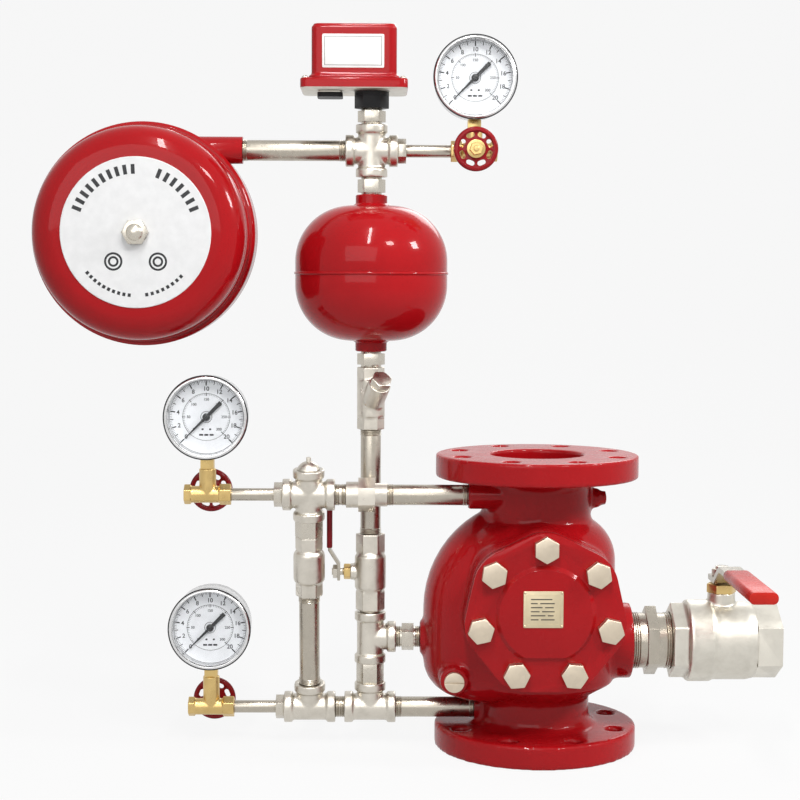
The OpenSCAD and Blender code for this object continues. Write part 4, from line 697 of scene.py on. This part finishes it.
def retard_chamber():
    """The tank as two spun halves with a rolled weld between them and a weld round each neck."""
    length, neck, wall, edge = TANK["length"], TANK["neck_d"] / 2, TANK["d"] / 2, TANK["edge"]
    weld_r, weld_half = TANK["weld_r"], TANK["weld_half"]
    low, mid, high = TANK["neck_l"], length / 2, length - TANK["neck_l"]
    past_neck_weld = math.degrees(math.asin(0.02))
    profile = [(0, 0), (neck - 1, 0), (neck, 1)]
    profile += [(neck, low - 2.5), (neck + 1.5, low - 1.2), (neck + 3.2, low - 0.2)]
    profile += arc(wall - edge, low + edge, edge, -90 + past_neck_weld, 0, 28)
    profile += [(wall, mid - weld_half), *arc(wall - 0.5, mid, weld_r, -80, 80, 8), (wall, mid + weld_half)]
    profile += arc(wall - edge, high - edge, edge, 0, 90 - past_neck_weld, 28)
    profile += [(neck + 3.2, high + 0.2), (neck + 1.5, high + 1.2), (neck, high + 2.5)]
    profile += [(neck, length - 1), (neck - 1, length), (0, length)]
    mesh = lathe_mesh("retard_chamber_spun", profile, along((TANK["x"], 0, TANK["z"]), (0, 0, 1)), 160)
    piece = add_piece("retard_chamber_spun", mesh, sheet_red, "valve", 40)
    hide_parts("retard_chamber")


def gong_bell(place):
    """The bell as spun sheet with a rolled rim."""
    rim, depth, edge, sheet, hub = GONG["d"] / 2, GONG["depth"], GONG["edge"], GONG["sheet"], GONG["hub_r"]
    flat = rim - edge
    outer = [(rim - 0.6, 0)] + arc(rim + 0.4, 2.0, GONG["roll_r"], -90, 90, 8) + [(rim, 4.4)]
    outer += arc(flat, depth - edge, edge, 0, 90, 30) + [(flat * 0.98, depth + 0.05), (hub, depth)]
    inner = [(hub, depth - sheet), (flat, depth - sheet)]
    inner += arc(flat, depth - edge, edge - sheet, 90, 0, 20) + [(rim - sheet, 0.4)]
    mesh = lathe_mesh("gong_bell_spun", outer + inner, place, 192, closed=True)
    piece = add_piece("gong_bell_spun", mesh, sheet_red, "valve", 40)
    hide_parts("gong_bell")


def gong_disc(place):
    """The white disc on the bell's front, with a softened rim."""
    hole, r = GONG_DISC["hole_r"], GONG_DISC["r"]
    back, front = GONG["depth"] - GONG_DISC["sunk"], GONG["depth"] + GONG_DISC["t"]
    section = [(hole, back), (hole, front - 0.2), (hole + 0.3, front)]
    section += [(r - 0.6, front), (r, front - 0.4), (r, back)]
    mesh = lathe_mesh("gong_front_disc", section, place, 192, closed=True)
    add_piece("gong_front_disc", mesh, disc_white, "valve", 30)


def gong_marks():
    """Plain bars and rings printed on the white disc."""
    bar_rows_r = 65.0
    long_bar, short_bar = dict(Length=10.0, Width=4.0), dict(Length=3.6, Width=3.2)
    ring_x, ring_drop, ring_w = 23, 30, 2.2
    face_y = GONG["lip"] - GONG["depth"] - GONG_DISC["t"]
    face = along((GONG["x"], face_y, GONG["z"]), (0, -1, 0))
    marks = []
    for start, sweep, count, bar in (
        (22, 46, 7, long_bar), (92, 66, 10, long_bar), (-140, 44, 10, short_bar), (-80, 36, 8, short_bar),
    ):
        marks.append(grown(
            dial_marks, ink_black, face, Count=count, Radius=bar_rows_r, Start=math.radians(start),
            Sweep=math.radians(sweep), Height=0.16, **bar))
    for x in (-ring_x, ring_x):
        for radius in (9.5, 5.5):
            spot = along((GONG["x"] + x, face_y, GONG["z"] - ring_drop), (0, -1, 0))
            marks.append(flat_ring(radius, ring_w, spot, low=-0.05, high=0.08, segments=48))
    add_piece("gong_disc_marks", joined("gong_disc_marks", marks), ink_black, "valve", 30)


gong_place = along((GONG["x"], GONG["lip"], GONG["z"]), (0, -1, 0))
retard_chamber()
gong_bell(gong_place)
gong_disc(gong_place)
gong_marks()


# Gauges

def dial_numbers(face, count, step, size, share_x, share_y):
    """A ring of plain numbers, from the lower left round to the lower right."""
    numbers = []
    for i in range(count):
        a = math.radians(SCALE_START - SCALE_SWEEP * i / (count - 1))
        spot = (share_x * DIAL_R * math.cos(a), share_y * DIAL_R * math.sin(a))
        numbers.append(number_mesh(str(i * step), size, spot, face))
    return numbers


def dial_print(name, x, y, z):
    """Two scales, their numbers, the hub ring and some dashes, as thin ink just proud of the enamel."""
    face = along((x, y + DIAL_Y - 0.02, z), (0, -1, 0))
    front = upright((x, y + DIAL_Y - 0.06, z))
    ink = []
    for count, share, length, width in (
        (11, 0.9, 5.2, 1.3), (21, 0.92, 3.6, 0.9), (101, 0.94, 2.2, 0.36),
        (61, 0.6, 2.0, 0.36), (7, 0.6, 3.4, 0.9),
    ):
        ink.append(grown(
            dial_marks, ink_black, face, Count=count, Radius=share * DIAL_R,
            Start=math.radians(SCALE_START - SCALE_SWEEP), Sweep=math.radians(SCALE_SWEEP),
            Length=length, Width=width, Height=0.08))
    ink += dial_numbers(front, count=11, step=2, size=6.4, share_x=0.755, share_y=0.745)
    ink += dial_numbers(front, count=7, step=50, size=4.0, share_x=0.47, share_y=0.465)
    for radius, width in ((0.985 * DIAL_R, 0.5), (0.63 * DIAL_R, 0.4), (6.2, 0.5)):
        ink.append(flat_ring(radius, width, face, low=-0.04, high=0.05, segments=96))
    dashes = [(4.4, 1.9, dx, -19) for dx in (-5.5, 0, 5.5)] + [(2.2, 1.9, dx, -13) for dx in (-4, 4)]
    ink += thin_bars(dashes, front, t=0.08, corner=0.5, lift=0, edge=0.02)
    mesh = joined(f"dial_print_{name}", ink)
    add_piece(f"dial_print_{name}", mesh, ink_black, "valve", 30)


def painted_rim_reflection(name, x, y, z):
    """A dark ring round the front of a gauge's steel bezel: painted dark reflection on its polished rolled
    edge.
    """
    r = BEZEL_R
    section = [(r - 1.1, 0), (r, 0), (r + 0.4, 0.4), (r + 0.4, 2.6), (r - 0.5, 3)]
    mesh = lathe_mesh("rim", section, along((x, y + BEZEL_FRONT, z), (0, 1, 0)), 128, closed=True)
    add_piece(f"gauge_rim_{name}", mesh, rim_reflection_dark, "valve", 40)


def pointer_cap(name, x, y, z):
    """The domed cap on a pointer's hub."""
    section = [(0, 2.0), (2.2, 1.9), (3.4, 1.2), (3.6, 0), (0, 0)]
    mesh = lathe_mesh("pointer_cap", section, along((x, y + DIAL_Y - POINTER_RISE, z), (0, -1, 0)), 40)
    add_piece(f"pointer_cap_{name}", mesh, pointer_black, f"hand_{name}", 40)


for name, (x, y, z) in GAUGES.items():
    dial_print(name, x, y, z)
    painted_rim_reflection(name, x, y, z)
    pointer_cap(name, x, y, z)


# Threads, nuts, plates, labels and screws

def pipe_threads(tree, point, axis, start, end, turns, inset, size):
    """The turns of thread that show at both ends of a pipe, which runs along an axis from start to end."""
    axis = Vector(axis)
    meshes = []
    for at, inward, count in ((start, axis, turns[0]), (end, -axis, turns[1])):
        place = along(Vector(point) + at * axis + inset * inward, inward)
        meshes.append(grown(tree, zinc_pipe, place, Count=count, **size))
    return meshes


def thread_ridges():
    """The last turns of thread that show where pipes and nipples enter their fittings."""
    tree = thread_tree()
    tilt = math.atan2(-UPPER_Y, UPPER_Z - LOWER_Z)
    lean = (0, -math.sin(tilt), math.cos(tilt))
    up, right = (0, 0, 1), (1, 0, 0)
    lower, upper = (0, 0, LOWER_Z), (0, UPPER_Y, UPPER_Z)
    meshes = []
    for point, axis, start, end, turns in (
        ((RISER_X, 0, 0), up, 232, 346, (4, 4)), ((BYPASS_X, 0, LOWER_Z), lean, 28, 127.6, (4, 4)),
        (lower, right, -219, -209, (3, 3)), (lower, right, -153, -67.5, (4, 3)),
        (upper, right, -219, -207, (3, 3)), (upper, right, -163, -77.5, (4, 3)),
        ((0, 0, TOP_Z), right, -319, -209, (3, 4)), ((0, 0, PORT_Z), right, -153, -127, (3, 3)),
    ):
        meshes += pipe_threads(tree, point, axis, start, end, turns, inset=0.6, size=TRIM_THREAD)
    meshes += pipe_threads(tree, (0, 0, DRAIN_Z), right, 104, 147, (4, 3), inset=0.8, size=DRAIN_THREAD)
    add_piece("thread_ridges", joined("thread_ridges", meshes), zinc_pipe, "valve", 30)


def wheel_nuts():
    """A brass washer, nut and stem end at the middle of each hand wheel."""
    washer = [(0, 0), (9.6, 0), (9.8, 0.3), (9.6, 1.1), (9.0, 1.3), (0, 1.3)]
    nut = [(0, 1.2), (7.2, 1.2), (7.5, 1.6), (7.5, 5.0), (6.6, 5.8), (0, 5.8)]
    tip = [(0, 5.7), (3.2, 5.7), (3.2, 7.6), (2.4, 8.3), (0, 8.5)]
    for name, (x, y, z, outward) in WHEELS.items():
        place = along((x, y, z), (0, outward, 0), math.radians(12))
        sides = ((washer, 64), (nut, 6), (tip, 32))
        turned = [lathe_mesh("turned", profile, place, count) for profile, count in sides]
        mesh = joined(f"wheel_nut_{name}", turned)
        add_piece(f"wheel_nut_{name}", mesh, brass_cast, body_of[f"handwheel_{name}"], 30)


def rating_plate():
    """The bare plate on the cover, with a pressed border line, a pin in each corner and plain dashes."""
    front = upright(PLATE["at"])
    meshes = [rounded_slab("plate", PLATE["w"], PLATE["h"], PLATE["t"], PLATE["corner"], front)]
    border = [(35, 0.4, 0, 15.2), (35, 0.4, 0, -15.2), (0.4, 30.8, 17.5, 0), (0.4, 30.8, -17.5, 0)]
    meshes += thin_bars(border, front, t=0.3, corner=0.18, lift=0.8, edge=0.1)
    pin_r = PLATE["pin_r"]
    dome = [(pin_r * math.sin(a), math.cos(a)) for a in (0.5, 1.0, 1.4)]
    pin = [(0, 1.0), *dome, (pin_r, -0.3), (0, -0.3)]
    for x in (-PLATE["pin_x"], PLATE["pin_x"]):
        for y in (-PLATE["pin_y"], PLATE["pin_y"]):
            meshes.append(lathe_mesh("pin", pin, front @ Matrix.Translation((x, y, 0.8)), 20))
    add_piece("rating_plate", joined("rating_plate", meshes), plate_brass, "valve", 40)
    dashes = []
    for row, widths in enumerate(((22,), (7, 15), (12, 9), (9, 13), (15, 6), (8, 14))):
        left = -13.0
        for w in widths:
            dashes.append((w, 1.1, left + w / 2, 10.5 - 4.2 * row))
            left += w + 2.5
    mesh = joined("rating_plate_dashes", thin_bars(dashes, front, t=0.06, corner=0.3, lift=0.88, edge=0.02))
    add_piece("rating_plate_dashes", mesh, ink_black, "valve", 40)


def switch_label():
    """The blank label on the switch's front, a pale field in a thin dark frame."""
    front = upright(LABEL["at"])
    field = rounded_slab("switch_label", LABEL["w"], LABEL["h"], LABEL["t"], LABEL["corner"], front, 0.1)
    add_piece("switch_label", field, label_white, "valve", 40)
    border = [(60, 0.5, 0, 14.8), (60, 0.5, 0, -14.8), (0.5, 30, 29.8, 0), (0.5, 30, -29.8, 0)]
    mesh = joined("switch_label_frame", thin_bars(border, front, t=0.08, corner=0.2, lift=0.33, edge=0.02))
    add_piece("switch_label_frame", mesh, ink_black, "valve", 40)


def switch_skirt():
    """The red skirt of the switch's cover, folded over the top and the sides of its pale base."""
    place = lying(SKIRT["at"])
    skirt = rounded_slab("switch_skirt", SKIRT["w"], SKIRT["h"], SKIRT["t"], SKIRT["corner"], place, 1.6)
    add_piece("switch_skirt", skirt, sheet_red, "valve", 40)


def switch_screws():
    """A slotted screw in each corner of the skirt."""
    sizes = dict(Width=SCREWS["w"], Depth=SCREWS["h"], Radius=SCREWS["r"], Height=SCREWS["t"])
    mesh = grown(screw_tree(), nickel_turned, lying(SCREWS["at"]), **sizes)
    add_piece("switch_screws", mesh, nickel_turned, "valve", 35)


def switch_painted_shadow():
    """A dark slab under the switch's base, as painted shadow beneath the base's left side."""
    place = lying(SWITCH_SHADOW["at"])
    shadow_slab = rounded_slab("switch_painted_shadow", SWITCH_SHADOW["w"], SWITCH_SHADOW["h"], SWITCH_SHADOW["t"], SWITCH_SHADOW["corner"], place, 0.8)
    add_piece("switch_painted_shadow", shadow_slab, black_moulded, "valve", 40)


thread_ridges()
wheel_nuts()
rating_plate()
switch_label()
switch_skirt()
switch_screws()
switch_painted_shadow()


# Stage, light and camera

def camera():
    """The photograph's viewpoint, fitted to the flanges and pipe lines."""
    pitch, yaw, roll = PHOTO_VIEW["pitch"], PHOTO_VIEW["yaw"], PHOTO_VIEW["roll"]
    forward = Vector((math.sin(yaw) * math.cos(pitch), math.cos(yaw) * math.cos(pitch), -math.sin(pitch)))
    level = Vector((math.cos(yaw), -math.sin(yaw), 0))
    plumb = level.cross(forward)
    right = level * math.cos(roll) + plumb * math.sin(roll)
    up = plumb * math.cos(roll) - level * math.sin(roll)
    turn = Matrix((right, up, -forward)).transposed().to_4x4()
    data = bpy.data.cameras.new("photo_camera")
    data.sensor_width = SENSOR_W
    data.sensor_fit = "HORIZONTAL"
    data.lens = PHOTO_VIEW["focal"] / PHOTO_VIEW["width"] * SENSOR_W
    data.clip_end = 50
    obj = bpy.data.objects.new("photo_camera", data)
    obj.matrix_world = Matrix.Translation(Vector(PHOTO_VIEW["at"]) * MM) @ turn
    bpy.context.scene.collection.objects.link(obj)
    bpy.context.scene.camera = obj


def seen_factor(tree):
    """One for rays that show the background itself, straight, mirrored or through glass."""
    path = tree.nodes.new("ShaderNodeLightPath")
    seen = path.outputs["Is Camera Ray"]
    for kind in ("Is Glossy Ray", "Is Transmission Ray"):
        either = tree.nodes.new("ShaderNodeMath")
        either.operation = "MAXIMUM"
        tree.links.new(seen, either.inputs[0])
        tree.links.new(path.outputs[kind], either.inputs[1])
        seen = either.outputs[0]
    return seen


def seen_or_lit(tree, out_kind, lit, seen, share):
    """Ends a tree: one shader lights the valve, the other takes a share of it where it is seen."""
    part = tree.nodes.new("ShaderNodeMath")
    part.operation = "MULTIPLY"
    part.inputs[1].default_value = share
    tree.links.new(seen_factor(tree), part.inputs[0])
    mix = tree.nodes.new("ShaderNodeMixShader")
    for source, socket in zip((part, lit, seen), mix.inputs):
        tree.links.new(source.outputs[0], socket)
    tree.links.new(mix.outputs[0], tree.nodes.new(out_kind).inputs[0])


def plain_shader(tree, kind, colour, strength=None):
    shader = tree.nodes.new(kind)
    shader.inputs["Color"].default_value = (*colour, 1)
    if strength is not None:
        shader.inputs["Strength"].default_value = strength
    return shader


def stage():
    """A pale floor that melts into a white backdrop and keeps the valve's soft shadow."""
    half_width = 14
    profile = [(-14.0, -0.0006), (2.0, -0.0006), (2.6, 0.06), (3.0, 0.3), (3.2, 0.8), (3.25, 4.5)]
    bm = bmesh.new()
    rows = [[bm.verts.new((x, y, z)) for x in (-half_width, half_width)] for y, z in profile]
    for a, b in zip(rows, rows[1:]):
        bm.faces.new((a[0], a[1], b[1], b[0]))
    mesh = finished("studio_sweep", bm)
    mesh.polygons.foreach_set("use_smooth", [True] * len(mesh.polygons))
    floor = bpy.data.objects.new("studio_sweep", mesh)
    bpy.context.scene.collection.objects.link(floor)
    material = bpy.data.materials.new("studio_paper")
    material.use_nodes = True
    tree = material.node_tree
    tree.nodes.clear()
    paper = plain_shader(tree, "ShaderNodeBsdfDiffuse", (0.6, 0.6, 0.6))
    white = plain_shader(tree, "ShaderNodeEmission", (1, 1, 1), 1.0)
    seen_or_lit(tree, "ShaderNodeOutputMaterial", paper, white, 0.9)
    mesh.materials.append(material)


def world():
    """As pale as the far floor where it is seen or mirrored, and a dim even fill for the rest."""
    surround = bpy.data.worlds.new("studio")
    bpy.context.scene.world = surround
    surround.use_nodes = True
    tree = surround.node_tree
    tree.nodes.clear()
    fill = plain_shader(tree, "ShaderNodeBackground", (0.93, 0.95, 1.0), 0.2)
    white = plain_shader(tree, "ShaderNodeBackground", (1, 1, 1), 0.915)
    seen_or_lit(tree, "ShaderNodeOutputWorld", fill, white, 1.0)


def softbox(name, at, target, w, h, power, colour=(1, 1, 1)):
    """A rectangular lamp, in metres and watts, turned to a target."""
    data = bpy.data.lights.new(name, "AREA")
    data.shape = "RECTANGLE"
    data.size = w
    data.size_y = h
    data.energy = power
    data.color = colour
    obj = bpy.data.objects.new(name, data)
    obj.location = at
    obj.rotation_euler = (Vector(target) - Vector(at)).to_track_quat("-Z", "Y").to_euler()
    bpy.context.scene.collection.objects.link(obj)


camera()
stage()
world()
softbox("key_softbox", (1.0, -1.9, 2.1), (-0.1, 0, 0.35), 0.46, 0.34, 21, (1, 0.98, 0.95))
softbox("side_window", (1.5, -0.5, 1.4), (-0.1, 0, 0.4), 0.34, 0.38, 20, (0.98, 0.99, 1))
softbox("top_strip", (-0.25, -1.2, 2.1), (-0.1, 0, 0.4), 0.12, 1.2, 24)
softbox("front_fill", (-0.9, -2.6, 1.3), (-0.1, 0, 0.35), 2.4, 1.4, 20)
softbox("back_softbox", (0.7, 2.3, 1.7), (-0.1, 0, 0.35), 1.2, 1.0, 12)

bpy.context.scene.view_settings.view_transform = "Standard"
